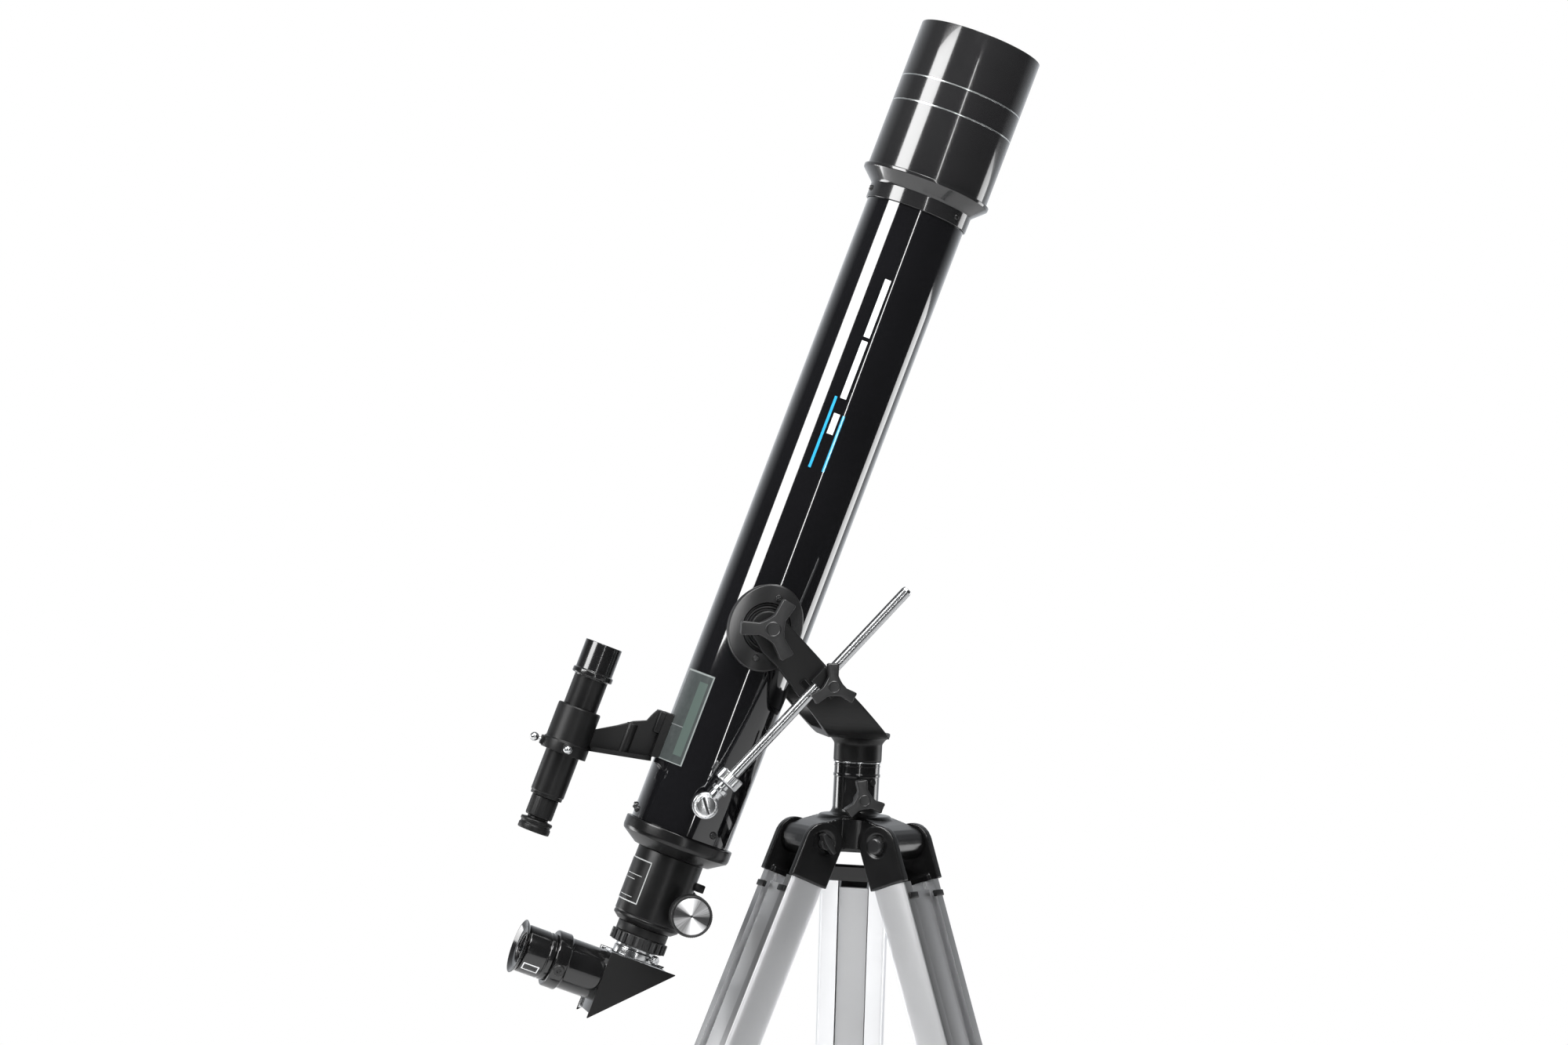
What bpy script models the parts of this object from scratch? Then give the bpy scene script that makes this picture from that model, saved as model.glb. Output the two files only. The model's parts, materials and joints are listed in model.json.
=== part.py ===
"""A small refracting telescope on a fork mount and a folding tripod, modelled piece by piece.

Units are metres and +Z is up. The tripod's legs hinge on a hub, a fork turns on the hub's column,
the tube tilts in the fork, and a steady rod runs from the tube's tail to a clamp on the fork.
"""

import math

import bmesh
import bpy
from mathutils import Vector

FIT = 0.0003  # the gap kept between two pieces that touch
WELD = 0.000002

# Facets round a turned shape, by its size
LARGE = 36
MEDIUM = 24
SMALL = 18
TINY = 12

# Tripod
SPLAY = math.radians(21)
FIRST_LEG_TURN = math.radians(77.4)
LEG_COUNT = 3
HINGE_RADIUS = 0.0377
LEG_LENGTH = 0.700
LEG_WIDTH = 0.052
LEG_DEPTH = 0.0275
LEG_WALL = 0.0013
RAIL_TOP = 0.031
RAIL_BULGE = 0.0025
CENTRE_WIDTH = 0.0225
CENTRE_DEPTH = 0.022
CENTRE_TOP = 0.038
SLIDE_FIT = 0.00045
LOWER_REVEAL = 0.140
COLLAR_TOP = LEG_LENGTH - LOWER_REVEAL
COLLAR_LENGTH = 0.040
COLLAR_WALL = 0.0035
COLLAR_OVERLAP = 0.010
FOOT_LENGTH = 0.036
FOOT_POCKET = 0.016
SOLE_SIZE = 0.018
EAR_RADIUS = 0.0154
EAR_THICKNESS = 0.0065
HUB_RADIUS = HINGE_RADIUS - 0.0097
HUB_TOP = 0.0195
HUB_BOTTOM = -0.007
BOSS_REACH = 0.0135
HINGE_PIN_RADIUS = 0.003

# Spreader and tray
LUG_DISTANCE = COLLAR_TOP + COLLAR_LENGTH / 2
LUG_REACH = 0.008
STRUT_RISE = math.radians(29.9)
STRUT_WIDTH = 0.012
STRUT_THICKNESS = 0.006
PIVOT_PIN_RADIUS = 0.0022
TRAY_PIVOT_RADIUS = 0.025
TRAY_RADIUS = 0.048
TRAY_LIFT = 0.0185
TRAY_THICKNESS = 0.004
TRAY_HOLE_RADIUS = 0.0160
CHEEK_THICKNESS = 0.0032

# Optical tube: heights are measured along the tube from the altitude axis
TUBE_TILT = math.radians(18.2)
TUBE_RADIUS = 0.038
TUBE_WALL = 0.0012
TUBE_TAIL = -0.164
TUBE_FRONT = 0.344
SHIELD_STEP = 0.009
SHIELD_RADIUS = TUBE_RADIUS + SHIELD_STEP
SHIELD_LENGTH = 0.1145
SHIELD_WALL = 0.0015
CELL_LIP_RADIUS = SHIELD_RADIUS + 0.0025
CELL_LIP_TOP = TUBE_FRONT + 0.0085
CELL_SKIRT = 0.015
LENS_RADIUS = TUBE_RADIUS - 0.0022
LENS_SEAT = TUBE_FRONT + 0.005
FLINT_EDGE = 0.005
CROWN_EDGE = 0.0055
PAD_HALF_WIDTH = 0.0275
PAD_HALF_HEIGHT = 0.033
PAD_THICKNESS = 0.0057
REAR_RIM_RADIUS = TUBE_RADIUS + 0.0035

# Column and fork
COLUMN_RADIUS = 0.017
COLUMN_TOP = 0.0585
SPINDLE_RADIUS = 0.012
SPINDLE_DEPTH = 0.040
LOCK_HEIGHT = 0.0325
NECK_RADIUS = 0.018
FLANGE_RADIUS = 0.0205
RIM_RADIUS = 0.0235
ALTITUDE_OFFSET = 0.0796
ALTITUDE_RISE = 0.1567
BAND_DROP = 0.079
ARM_THICKNESS = 0.006
ARM_CLEARANCE = 0.001
ARM_OUTSIDE = TUBE_RADIUS + FIT + PAD_THICKNESS + ARM_CLEARANCE + ARM_THICKNESS
ARM_EYE_RADIUS = 0.0130
ARM_BEND_DROP = 0.048
BAND_BASE_HALF = 0.026
BOLT_RADIUS = 0.004
KNOB_REACH = 0.024
KNOB_LOBE_WIDTH = 0.0105
KNOB_THICKNESS = 0.010
KNOB_STAND = 0.0135

# Steady rod
ROD_RADIUS = 0.004
ROD_LENGTH = 0.217
ROD_STANDOFF = 0.007
ROD_PLANE = ARM_OUTSIDE + ROD_STANDOFF
ROD_PIVOT = Vector((0.0015, -0.1371))
ROD_CLAMP = Vector((0.0466, -0.0398))
ROD_CLAMP_OFFSET = 0.007
EYE_RADIUS = 0.00975
NUT_PLACE = 0.026
NUT_RADIUS = 0.0095
NUT_LENGTH = 0.009
SMALL_KNOB_REACH = 0.0178
SMALL_LOBE_WIDTH = 0.0085

# Focuser: its sizes start from the eyepiece barrel that slides in it
BARREL_RADIUS = 0.01588
BARREL_WALL = 0.0012
BARREL_SLIP = 0.00022
DRAW_WALL = 0.0011
DRAW_RADIUS = BARREL_RADIUS + BARREL_SLIP + DRAW_WALL
DRAW_TOP = -0.120
DRAW_COLLAR_RADIUS = DRAW_RADIUS + 0.0023
FOCUSER_RADIUS = DRAW_RADIUS + 0.0081
FOCUSER_TOP = TUBE_TAIL - 0.0183
FOCUSER_LENGTH = 0.0562
FOCUSER_BOTTOM = FOCUSER_TOP - FOCUSER_LENGTH
DRAW_END = FOCUSER_BOTTOM - 0.007
RACK_WIDTH = 0.008
RACK_REACH = DRAW_RADIUS + 0.001
PINION_RADIUS = 0.0052
PINION_TEETH = 12
PINION_PLACE = Vector((RACK_REACH + PINION_RADIUS + 0.0004, FOCUSER_BOTTOM + 0.0215))
SHAFT_RADIUS = 0.0025
FOCUS_KNOB_RADIUS = 0.0157
FOCUS_KNOB_LENGTH = 0.015
FOCUS_KNOB_START = FOCUSER_RADIUS + 0.0047
FOCUS_KNOB_END = FOCUS_KNOB_START + FOCUS_KNOB_LENGTH
SHAFT_REACH = FOCUS_KNOB_END - 0.002

# Diagonal and eyepiece
CLAMP_RING_RADIUS = BARREL_RADIUS + 0.00582
CLAMP_RING_LENGTH = 0.0085
FLUTES = 24
DIAGONAL_TOP = DRAW_END - 0.0175
DIAGONAL_HALF_WIDTH = BARREL_RADIUS + 0.00512
DIAGONAL_BACK = DIAGONAL_HALF_WIDTH
DIAGONAL_LEG = DIAGONAL_BACK + 0.031
DIAGONAL_WALL = 0.002
DIAGONAL_TURN = math.radians(5.5)
EYEPIECE_DROP = DIAGONAL_BACK - 0.0005
HOLDER_RADIUS = BARREL_RADIUS + 0.00332
HOLDER_RING_RADIUS = HOLDER_RADIUS + 0.0022
HOLDER_RING_START = 0.048
HOLDER_END = 0.0588
EYEPIECE_RADIUS = BARREL_RADIUS + 0.00187
EYEPIECE_END = 0.0806
EYECUP_RADIUS = EYEPIECE_RADIUS + 0.00265
EYECUP_LENGTH = 0.0035

# Finder
FINDER_STANDOFF = 0.065
FINDER_OFFSET = TUBE_RADIUS + FINDER_STANDOFF
FINDER_FRONT = -0.0539
FINDER_RADIUS = 0.0128
HOOD_RADIUS = FINDER_RADIUS + 0.0013
HOOD_LENGTH = 0.026
BRACKET_RADIUS = FINDER_RADIUS + 0.0036
BRACKET_START = 0.050
BRACKET_END = 0.086
WEB_ABOVE_RING = 0.006
FINDER_TAIL = 0.1205
OCULAR_RADIUS = FINDER_RADIUS - 0.0026
OCULAR_END = 0.1363
FINDER_END = 0.1473

# Finishes: colour, roughness, metallic
GLOSS_BLACK = ((0.012, 0.012, 0.014), 0.12, 0.0)
SHIELD_GREY = ((0.035, 0.035, 0.038), 0.2, 0.0)
SATIN_BLACK = ((0.018, 0.018, 0.019), 0.45, 0.0)
RUBBER_BLACK = ((0.014, 0.014, 0.014), 0.75, 0.0)
ALUMINIUM = ((0.72, 0.73, 0.74), 0.35, 1.0)
CHROME = ((0.8, 0.8, 0.81), 0.12, 1.0)
GLASS = ((0.75, 0.85, 0.82), 0.03, 0.0)


def frame_at(name, parent, location=(0, 0, 0), rotation=(0, 0, 0)):
    """An empty that carries a group of pieces, on the axis they turn about."""
    empty = bpy.data.objects.new(name, None)
    bpy.context.collection.objects.link(empty)
    empty.empty_display_size = 0.02
    empty.parent = parent
    empty.location = location
    empty.rotation_euler = rotation
    return empty


def solid(name, shape, parent, location=(0, 0, 0), rotation=(0, 0, 0)):
    """Turn a closed bmesh into a named object with its faces pointing out."""
    bmesh.ops.remove_doubles(shape, verts=shape.verts, dist=WELD)
    bmesh.ops.recalc_face_normals(shape, faces=shape.faces)
    mesh = bpy.data.meshes.new(name)
    shape.to_mesh(mesh)
    shape.free()
    made = bpy.data.objects.new(name, mesh)
    bpy.context.collection.objects.link(made)
    made.parent = parent
    made.location = location
    made.rotation_euler = rotation
    return made


def piece(name, shape, finish, parent, location=(0, 0, 0), rotation=(0, 0, 0)):
    """A sub-part with a material of its own, shaded smooth where it is round."""
    made = solid(name, shape, parent, location, rotation)
    colour, roughness, metallic = finish
    material = bpy.data.materials.new(name + "_finish")
    material.use_nodes = True
    shader = material.node_tree.nodes["Principled BSDF"]
    shader.inputs["Base Color"].default_value = (*colour, 1)
    shader.inputs["Roughness"].default_value = roughness
    shader.inputs["Metallic"].default_value = metallic
    made.data.materials.append(material)
    made.data.shade_smooth()
    made.data.set_sharp_from_angle(angle=math.radians(35))
    return made


def combine(target, operation, shape, location=(0, 0, 0), rotation=(0, 0, 0)):
    """Join, cut or trim a piece with a hidden helper that shares its frame."""
    count = len(target.modifiers)
    helper = solid(f"{target.name}_helper_{count}", shape, target, location, rotation)
    helper.hide_render = True
    helper.display_type = "WIRE"
    boolean = target.modifiers.new(f"{operation.lower()}_{count}", "BOOLEAN")
    boolean.operation = operation
    boolean.object = helper


def join(target, shape, location=(0, 0, 0), rotation=(0, 0, 0)):
    combine(target, "UNION", shape, location, rotation)


def cut(target, shape, location=(0, 0, 0), rotation=(0, 0, 0)):
    combine(target, "DIFFERENCE", shape, location, rotation)


def loft(loops, ring=False):
    """Bridge outlines with the same number of points. A ring joins the last to the first."""
    shape = bmesh.new()
    rows = [[shape.verts.new(point) for point in loop] for loop in loops]
    pairs = list(zip(rows, rows[1:]))
    if ring:
        pairs.append((rows[-1], rows[0]))
    else:
        shape.faces.new(rows[0])
        shape.faces.new(rows[-1])
    for lower, upper in pairs:
        for index in range(len(lower)):
            following = (index + 1) % len(lower)
            shape.faces.new((lower[index], lower[following], upper[following], upper[index]))
    return shape


def prism(outline, low, high, along="Z"):
    """A flat outline pushed along one axis. Its two coordinates are the other axes in order."""
    place = {
        "X": lambda a, b, depth: (depth, a, b),
        "Y": lambda a, b, depth: (a, depth, b),
        "Z": lambda a, b, depth: (a, b, depth),
    }[along]
    return loft([[place(a, b, depth) for a, b in outline] for depth in (low, high)])


def pipe(outer, inner, low, high):
    """A straight tube of any section along Z, open at both ends."""
    stops = ((outer, low), (outer, high), (inner, high), (inner, low))
    return loft([[(a, b, height) for a, b in outline] for outline, height in stops], ring=True)


def box(low, high):
    corners = ((low[0], low[1]), (high[0], low[1]), (high[0], high[1]), (low[0], high[1]))
    return prism(corners, low[2], high[2])


def turned(profile, steps=MEDIUM):
    """Turn a profile of (radius, height) points about Z.

    A profile that starts and ends on the axis makes a solid; any other closes into a ring.
    """
    shape = bmesh.new()
    points = [shape.verts.new((radius, 0, height)) for radius, height in profile]
    edges = [shape.edges.new(pair) for pair in zip(points, points[1:])]
    if profile[0][0] > 0:
        edges.append(shape.edges.new((points[-1], points[0])))
    bmesh.ops.spin(
        shape, geom=points + edges, cent=(0, 0, 0), axis=(0, 0, 1), angle=math.tau, steps=steps
    )
    bmesh.ops.remove_doubles(shape, verts=shape.verts, dist=WELD)
    return shape


def rod_shape(radius, low, high, steps=TINY):
    """A plain round bar along Z."""
    return turned([(0, high), (radius, high), (radius, low), (0, low)], steps)


def ring_outline(radius, steps, second_radius=None):
    """A circle, or an ellipse or a star of two radii that alternate."""
    other = second_radius or radius
    return [
        (
            (other if index % 2 else radius) * math.cos(math.tau * index / steps),
            (other if index % 2 else radius) * math.sin(math.tau * index / steps),
        )
        for index in range(steps)
    ]


def rectangle(half_width, half_height):
    return [
        (half_width, -half_height),
        (half_width, half_height),
        (-half_width, half_height),
        (-half_width, -half_height),
    ]


def wing_outline(reach, width, first_turn):
    """Three round-ended lobes, as on a wing knob."""
    outline = []
    half = width / 2
    for lobe in range(3):
        turn = first_turn + math.tau * lobe / 3
        for step in range(5):
            swing = turn - math.pi / 2 + math.pi * step / 4
            outline.append(
                (
                    (reach - half) * math.cos(turn) + half * math.cos(swing),
                    (reach - half) * math.sin(turn) + half * math.sin(swing),
                )
            )
        corner = turn + math.pi / 3
        distance = half / math.sin(math.pi / 3)
        outline.append((distance * math.cos(corner), distance * math.sin(corner)))
    return outline


NEAR = (math.radians(90), 0, 0)  # turns local Z towards -Y
FAR = (math.radians(-90), 0, 0)  # turns local Z towards +Y
REARWARD = (0, math.radians(-90), 0)  # turns local Z towards -X


def wing_knob(name, parent, tip, shoulder, reach, width, first_turn, location=(0, 0, 0), rotation=NEAR):
    """A wing knob on a threaded stud. Local Z points away from the clamped piece."""
    crown = shoulder + KNOB_STAND
    stem = width * 0.62
    body = [(0, crown + 0.001), (stem, crown + 0.001), (stem, shoulder)]
    stud = [(BOLT_RADIUS, shoulder), (BOLT_RADIUS, tip), (0, tip)]
    knob = piece(name, turned(body + stud, SMALL), SATIN_BLACK, parent, location, rotation)
    join(knob, prism(wing_outline(reach, width, first_turn), crown, crown + KNOB_THICKNESS))
    return knob


# ---------------------------------------------------------------- tripod

HINGE_HEIGHT = LEG_LENGTH * math.cos(SPLAY)
LEG_TURNS = [FIRST_LEG_TURN + math.tau * index / LEG_COUNT for index in range(LEG_COUNT)]
EAR_INSIDE = LEG_WIDTH / 2 + 0.001 - EAR_THICKNESS


def build_hub(root):
    """The hub casting: a core with three hinge bosses, and the hollow column above it."""
    hub_frame = frame_at("hub_frame", root, (0, 0, HINGE_HEIGHT))
    bore = SPINDLE_RADIUS + 2 * FIT
    floor = COLUMN_TOP - SPINDLE_DEPTH - 0.002
    profile = [
        (0, floor),
        (bore, floor),
        (bore, COLUMN_TOP - FIT),
        (COLUMN_RADIUS, COLUMN_TOP - FIT),
        (COLUMN_RADIUS, HUB_TOP),
        (HUB_RADIUS, HUB_TOP),
        (HUB_RADIUS, HUB_BOTTOM),
        (0, HUB_BOTTOM),
    ]
    hub = piece("tripod_hub", turned(profile, LARGE), SATIN_BLACK, hub_frame)
    half = EAR_INSIDE - FIT
    for turn in LEG_TURNS:
        boss = box((0.010, -half, HUB_BOTTOM), (HINGE_RADIUS + BOSS_REACH, half, EAR_RADIUS - 0.001))
        join(hub, boss, rotation=(0, 0, turn))
    for turn in LEG_TURNS:
        place = (HINGE_RADIUS * math.cos(turn), HINGE_RADIUS * math.sin(turn), 0)
        bore_length = half + 0.002
        cutter = rod_shape(HINGE_PIN_RADIUS + FIT, -bore_length, bore_length)
        cut(hub, cutter, place, (math.radians(90), 0, turn))
    lock_bore = rod_shape(BOLT_RADIUS + FIT, 0.001, COLUMN_RADIUS + 0.004)
    cut(hub, lock_bore, (0, 0, LOCK_HEIGHT), NEAR)
    wing_knob(
        "azimuth_lock_knob",
        hub_frame,
        SPINDLE_RADIUS + FIT,
        COLUMN_RADIUS + FIT,
        SMALL_KNOB_REACH,
        SMALL_LOBE_WIDTH,
        math.radians(100),
        (0, 0, LOCK_HEIGHT),
    )
    return hub_frame


def bracket_ear_outline():
    """An ear seen from the side: round at the top about the hinge, straight down to the rails."""
    half = LEG_DEPTH / 2 + 0.0015
    arc = [
        (EAR_RADIUS * math.cos(math.pi * step / 8), EAR_RADIUS * math.sin(math.pi * step / 8))
        for step in range(9)
    ]
    return arc + [(-half, -RAIL_TOP + FIT), (half, -RAIL_TOP + FIT)]


def rail_outline(side, shrink=0.0):
    """A D-shaped rail: flat towards the centre leg, stepped in front, crowned outside."""
    inner = CENTRE_WIDTH / 2 + SLIDE_FIT + shrink
    step_in = inner + 0.0037
    half = LEG_DEPTH / 2 - shrink
    edge = LEG_WIDTH / 2 - RAIL_BULGE - shrink
    crown = LEG_WIDTH / 2 - shrink
    points = [
        (-half, inner),
        (half * 0.5, inner),
        (half * 0.5, step_in),
        (half, step_in),
        (half, edge),
        (half * 0.55, edge + (crown - edge) * 0.75),
        (0, crown),
        (-half * 0.55, edge + (crown - edge) * 0.75),
        (-half, edge),
    ]
    return [(x, side * y) for x, y in points]


def build_leg(number, turn, hub_frame):
    """One leg: hinge bracket, two rails, sliding centre leg, collar with its knob, and foot."""
    place = (HINGE_RADIUS * math.cos(turn), HINGE_RADIUS * math.sin(turn), 0)
    leg = frame_at(f"leg_frame_{number}", hub_frame, place, (0, -SPLAY, turn))
    build_bracket(number, leg)
    rail_end = COLLAR_TOP + COLLAR_OVERLAP
    for letter, side in (("a", 1), ("b", -1)):
        shape = pipe(rail_outline(side), rail_outline(side, LEG_WALL), -rail_end, -RAIL_TOP)
        piece(f"leg_rail_{number}{letter}", shape, ALUMINIUM, leg)
    build_collar(number, leg)
    slide = frame_at(f"slide_frame_{number}", leg)
    half = (CENTRE_DEPTH / 2, CENTRE_WIDTH / 2)
    hollow = (half[0] - LEG_WALL, half[1] - LEG_WALL)
    foot_top = LEG_LENGTH - FOOT_LENGTH
    shape = pipe(rectangle(*half), rectangle(*hollow), -(foot_top + FOOT_POCKET), -CENTRE_TOP)
    piece(f"centre_leg_{number}", shape, ALUMINIUM, slide)
    build_foot(number, slide, foot_top)
    return leg


def build_bracket(number, leg):
    """Two ears round the hub's boss, a web behind, and a tongue down into each rail."""
    outside = EAR_INSIDE + EAR_THICKNESS
    bracket = piece(
        f"leg_bracket_{number}",
        prism(bracket_ear_outline(), EAR_INSIDE, outside, "Y"),
        SATIN_BLACK,
        leg,
    )
    join(bracket, prism(bracket_ear_outline(), -outside, -EAR_INSIDE, "Y"))
    back = LEG_DEPTH / 2 + 0.0015
    web = box((-back, -outside + 0.001, -RAIL_TOP + FIT), (-back + 0.0045, outside - 0.001, -0.018))
    join(bracket, web)
    bridge_top = -RAIL_TOP + 0.005
    low = (CENTRE_WIDTH / 2 + SLIDE_FIT + 2 * LEG_WALL + 0.0037, LEG_WIDTH / 2 - RAIL_BULGE - 2 * LEG_WALL)
    for side in (1, -1):
        y_low, y_high = sorted((side * low[0], side * low[1]))
        tongue = box((-LEG_DEPTH * 0.32, y_low, -RAIL_TOP - 0.03), (LEG_DEPTH * 0.32, y_high, bridge_top))
        join(bracket, tongue)
    hole = rod_shape(HINGE_PIN_RADIUS + FIT, -outside - 0.002, outside + 0.002)
    cut(bracket, hole, rotation=NEAR)
    head = EAR_RADIUS * 0.42
    reach = outside + FIT
    pin_profile = [
        (0, reach + 0.004),
        (head, reach + 0.004),
        (head, reach),
        (HINGE_PIN_RADIUS, reach),
        (HINGE_PIN_RADIUS, -reach - 0.006),
        (0, -reach - 0.006),
    ]
    piece(f"hinge_bolt_{number}", turned(pin_profile, TINY), CHROME, leg, rotation=NEAR)


def build_collar(number, leg):
    """The collar clamps the rails' ends and guides the centre leg; the strut hangs on its lug."""
    bottom = -(COLLAR_TOP + COLLAR_LENGTH)
    half_x = LEG_DEPTH / 2 + FIT + COLLAR_WALL
    half_y = LEG_WIDTH / 2 + FIT + COLLAR_WALL
    collar = piece(
        f"leg_collar_{number}",
        box((-half_x, -half_y, bottom), (half_x, half_y, -COLLAR_TOP)),
        SATIN_BLACK,
        leg,
    )
    pocket = box(
        (-LEG_DEPTH / 2 - FIT, -LEG_WIDTH / 2 - FIT, -(COLLAR_TOP + COLLAR_OVERLAP) - FIT),
        (LEG_DEPTH / 2 + FIT, LEG_WIDTH / 2 + FIT, -COLLAR_TOP + 0.002),
    )
    cut(collar, pocket)
    guide_x = CENTRE_DEPTH / 2 + FIT
    guide_y = CENTRE_WIDTH / 2 + FIT
    guide_top = -(COLLAR_TOP + COLLAR_OVERLAP) + 0.002
    cut(collar, box((-guide_x, -guide_y, bottom - 0.002), (guide_x, guide_y, guide_top)))
    screw_radius = BOLT_RADIUS * 0.75
    screw_hole = rod_shape(screw_radius + FIT, guide_x - 0.004, half_x + 0.002)
    outward = (0, math.radians(90), 0)
    knob_place = (0, 0, -(COLLAR_TOP + 0.62 * COLLAR_LENGTH))
    cut(collar, screw_hole, knob_place, outward)
    lug_depth = LUG_REACH + STRUT_WIDTH / 2
    inside = STRUT_THICKNESS / 2 + FIT
    for side in (1, -1):
        y_low, y_high = sorted((side * inside, side * (inside + CHEEK_THICKNESS)))
        low = (-half_x - lug_depth, y_low, -LUG_DISTANCE - STRUT_WIDTH / 2)
        join(collar, box(low, (-half_x + 0.001, y_high, -LUG_DISTANCE + STRUT_WIDTH / 2)))
    pin_length = inside + CHEEK_THICKNESS + 0.002
    hole = rod_shape(PIVOT_PIN_RADIUS + FIT, -pin_length, pin_length)
    cut(collar, hole, (-LUG_OFFSET, 0, -LUG_DISTANCE), NEAR)
    knob_start = half_x + FIT
    profile = [
        (0, knob_start + 0.016),
        (0.010, knob_start + 0.016),
        (0.012, knob_start + 0.013),
        (0.012, knob_start + 0.006),
        (0.006, knob_start),
        (screw_radius, knob_start),
        (screw_radius, guide_x + FIT),
        (0, guide_x + FIT),
    ]
    piece(f"leg_lock_knob_{number}", turned(profile, SMALL), SATIN_BLACK, leg, knob_place, outward)


def build_foot(number, slide, foot_top):
    """A boot over the centre leg's end, cut level with the floor."""
    pocket = rectangle(CENTRE_DEPTH / 2 + FIT, CENTRE_WIDTH / 2 + FIT)
    outer = rectangle(CENTRE_DEPTH / 2 + 0.003, CENTRE_WIDTH / 2 + 0.003)
    sole = rectangle(SOLE_SIZE / 2, SOLE_SIZE / 2)
    loops = [
        [(x, y, -(foot_top + FOOT_POCKET) - FIT) for x, y in pocket],
        [(x, y, -foot_top) for x, y in pocket],
        [(x, y, -foot_top) for x, y in outer],
        [(x, y, -(foot_top + FOOT_POCKET)) for x, y in outer],
        [(x, y, -LEG_LENGTH - x * math.tan(SPLAY)) for x, y in sole],
    ]
    piece(f"foot_{number}", loft(loops), RUBBER_BLACK, slide)


LUG_OFFSET = LEG_DEPTH / 2 + FIT + COLLAR_WALL + LUG_REACH
LUG_RADIUS = HINGE_RADIUS + LUG_DISTANCE * math.sin(SPLAY) - LUG_OFFSET * math.cos(SPLAY)
LUG_HEIGHT = -LUG_DISTANCE * math.cos(SPLAY) - LUG_OFFSET * math.sin(SPLAY)
STRUT_LENGTH = (LUG_RADIUS - TRAY_PIVOT_RADIUS) / math.cos(STRUT_RISE)
TRAY_HEIGHT = LUG_HEIGHT + STRUT_LENGTH * math.sin(STRUT_RISE)


def build_strut(number, leg):
    """A flat bar with round ends and a pin at its lower end, rising from the collar to the tray."""
    turn = STRUT_RISE + SPLAY - math.pi / 2
    strut_frame = frame_at(f"strut_frame_{number}", leg, (-LUG_OFFSET, 0, -LUG_DISTANCE), (0, turn, 0))
    half = STRUT_WIDTH / 2
    outline = []
    for centre, start in ((0, math.pi), (STRUT_LENGTH, 0)):
        for step in range(7):
            swing = start + math.pi * step / 6
            outline.append((half * math.cos(swing), centre + half * math.sin(swing)))
    edge = STRUT_THICKNESS / 2
    strut = piece(f"spreader_strut_{number}", prism(outline, -edge, edge, "Y"), SATIN_BLACK, strut_frame)
    pin_half = edge + CHEEK_THICKNESS + 3 * FIT
    join(strut, rod_shape(PIVOT_PIN_RADIUS, -pin_half, pin_half), rotation=NEAR)


def build_tray(hub_frame):
    """A round tray with three eyepiece holes, carried on cheeks that straddle the struts."""
    tray_frame = frame_at("tray_frame", hub_frame, (0, 0, TRAY_HEIGHT))
    under = TRAY_LIFT
    disc = [(0, under + TRAY_THICKNESS), (TRAY_RADIUS, under + TRAY_THICKNESS), (TRAY_RADIUS, under), (0, under)]
    tray = piece("accessory_tray", turned(disc, LARGE), SATIN_BLACK, tray_frame)
    inside = STRUT_THICKNESS / 2 + FIT
    half = STRUT_WIDTH / 2 + 0.001
    for turn in LEG_TURNS:
        for side in (1, -1):
            y_low, y_high = sorted((side * inside, side * (inside + CHEEK_THICKNESS)))
            cheek = box(
                (TRAY_PIVOT_RADIUS - half, y_low, -half),
                (TRAY_PIVOT_RADIUS + half, y_high, under + 0.001),
            )
            join(tray, cheek, rotation=(0, 0, turn))
    hole_place = TRAY_RADIUS - TRAY_HOLE_RADIUS - 0.0035
    for turn in LEG_TURNS:
        swing = turn + math.pi / LEG_COUNT
        place = (hole_place * math.cos(swing), hole_place * math.sin(swing), under)
        cut(tray, rod_shape(TRAY_HOLE_RADIUS, -0.004, TRAY_THICKNESS + 0.004, SMALL), place)


# ---------------------------------------------------------------- fork and steady rod


def fork_side_outline():
    """The band seen from the side: an eye round the altitude axis, then a slope down to the base."""
    eye = [
        (ARM_EYE_RADIUS * math.cos(swing), ARM_EYE_RADIUS * math.sin(swing))
        for swing in (math.radians(46 + 180 * step / 8) for step in range(9))
    ]
    left = [(0.0078, -0.0279), (0.0254, -0.0491), (ALTITUDE_OFFSET - 0.027, -BAND_DROP - 0.0006)]
    return eye + left + [(ALTITUDE_OFFSET + 0.0196, -BAND_DROP - 0.0006)]


def fork_front_outline():
    """The band seen from the front: two arms that curve into a flat base."""
    outside = []
    inside = []
    thin = ARM_THICKNESS
    base_inside = BAND_BASE_HALF - 0.003
    for step in range(6):
        swing = math.pi / 2 * step / 5
        reach = ARM_OUTSIDE - BAND_BASE_HALF
        drop = BAND_DROP - ARM_BEND_DROP
        outside.append((BAND_BASE_HALF + reach * math.cos(swing), -ARM_BEND_DROP - drop * math.sin(swing)))
        reach = ARM_OUTSIDE - thin - base_inside
        drop = BAND_DROP - thin - ARM_BEND_DROP
        inside.append((base_inside + reach * math.cos(swing), -ARM_BEND_DROP - drop * math.sin(swing)))
    top = ARM_EYE_RADIUS + 0.002
    right = [(ARM_OUTSIDE, top)] + outside
    left = [(-y, z) for y, z in reversed(right)]
    inner_left = [(-y, z) for y, z in inside]
    inner_left.insert(0, (-ARM_OUTSIDE + thin, top))
    inner_right = [(-y, z) for y, z in reversed(inner_left)]
    return right + left + inner_left + inner_right


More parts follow.
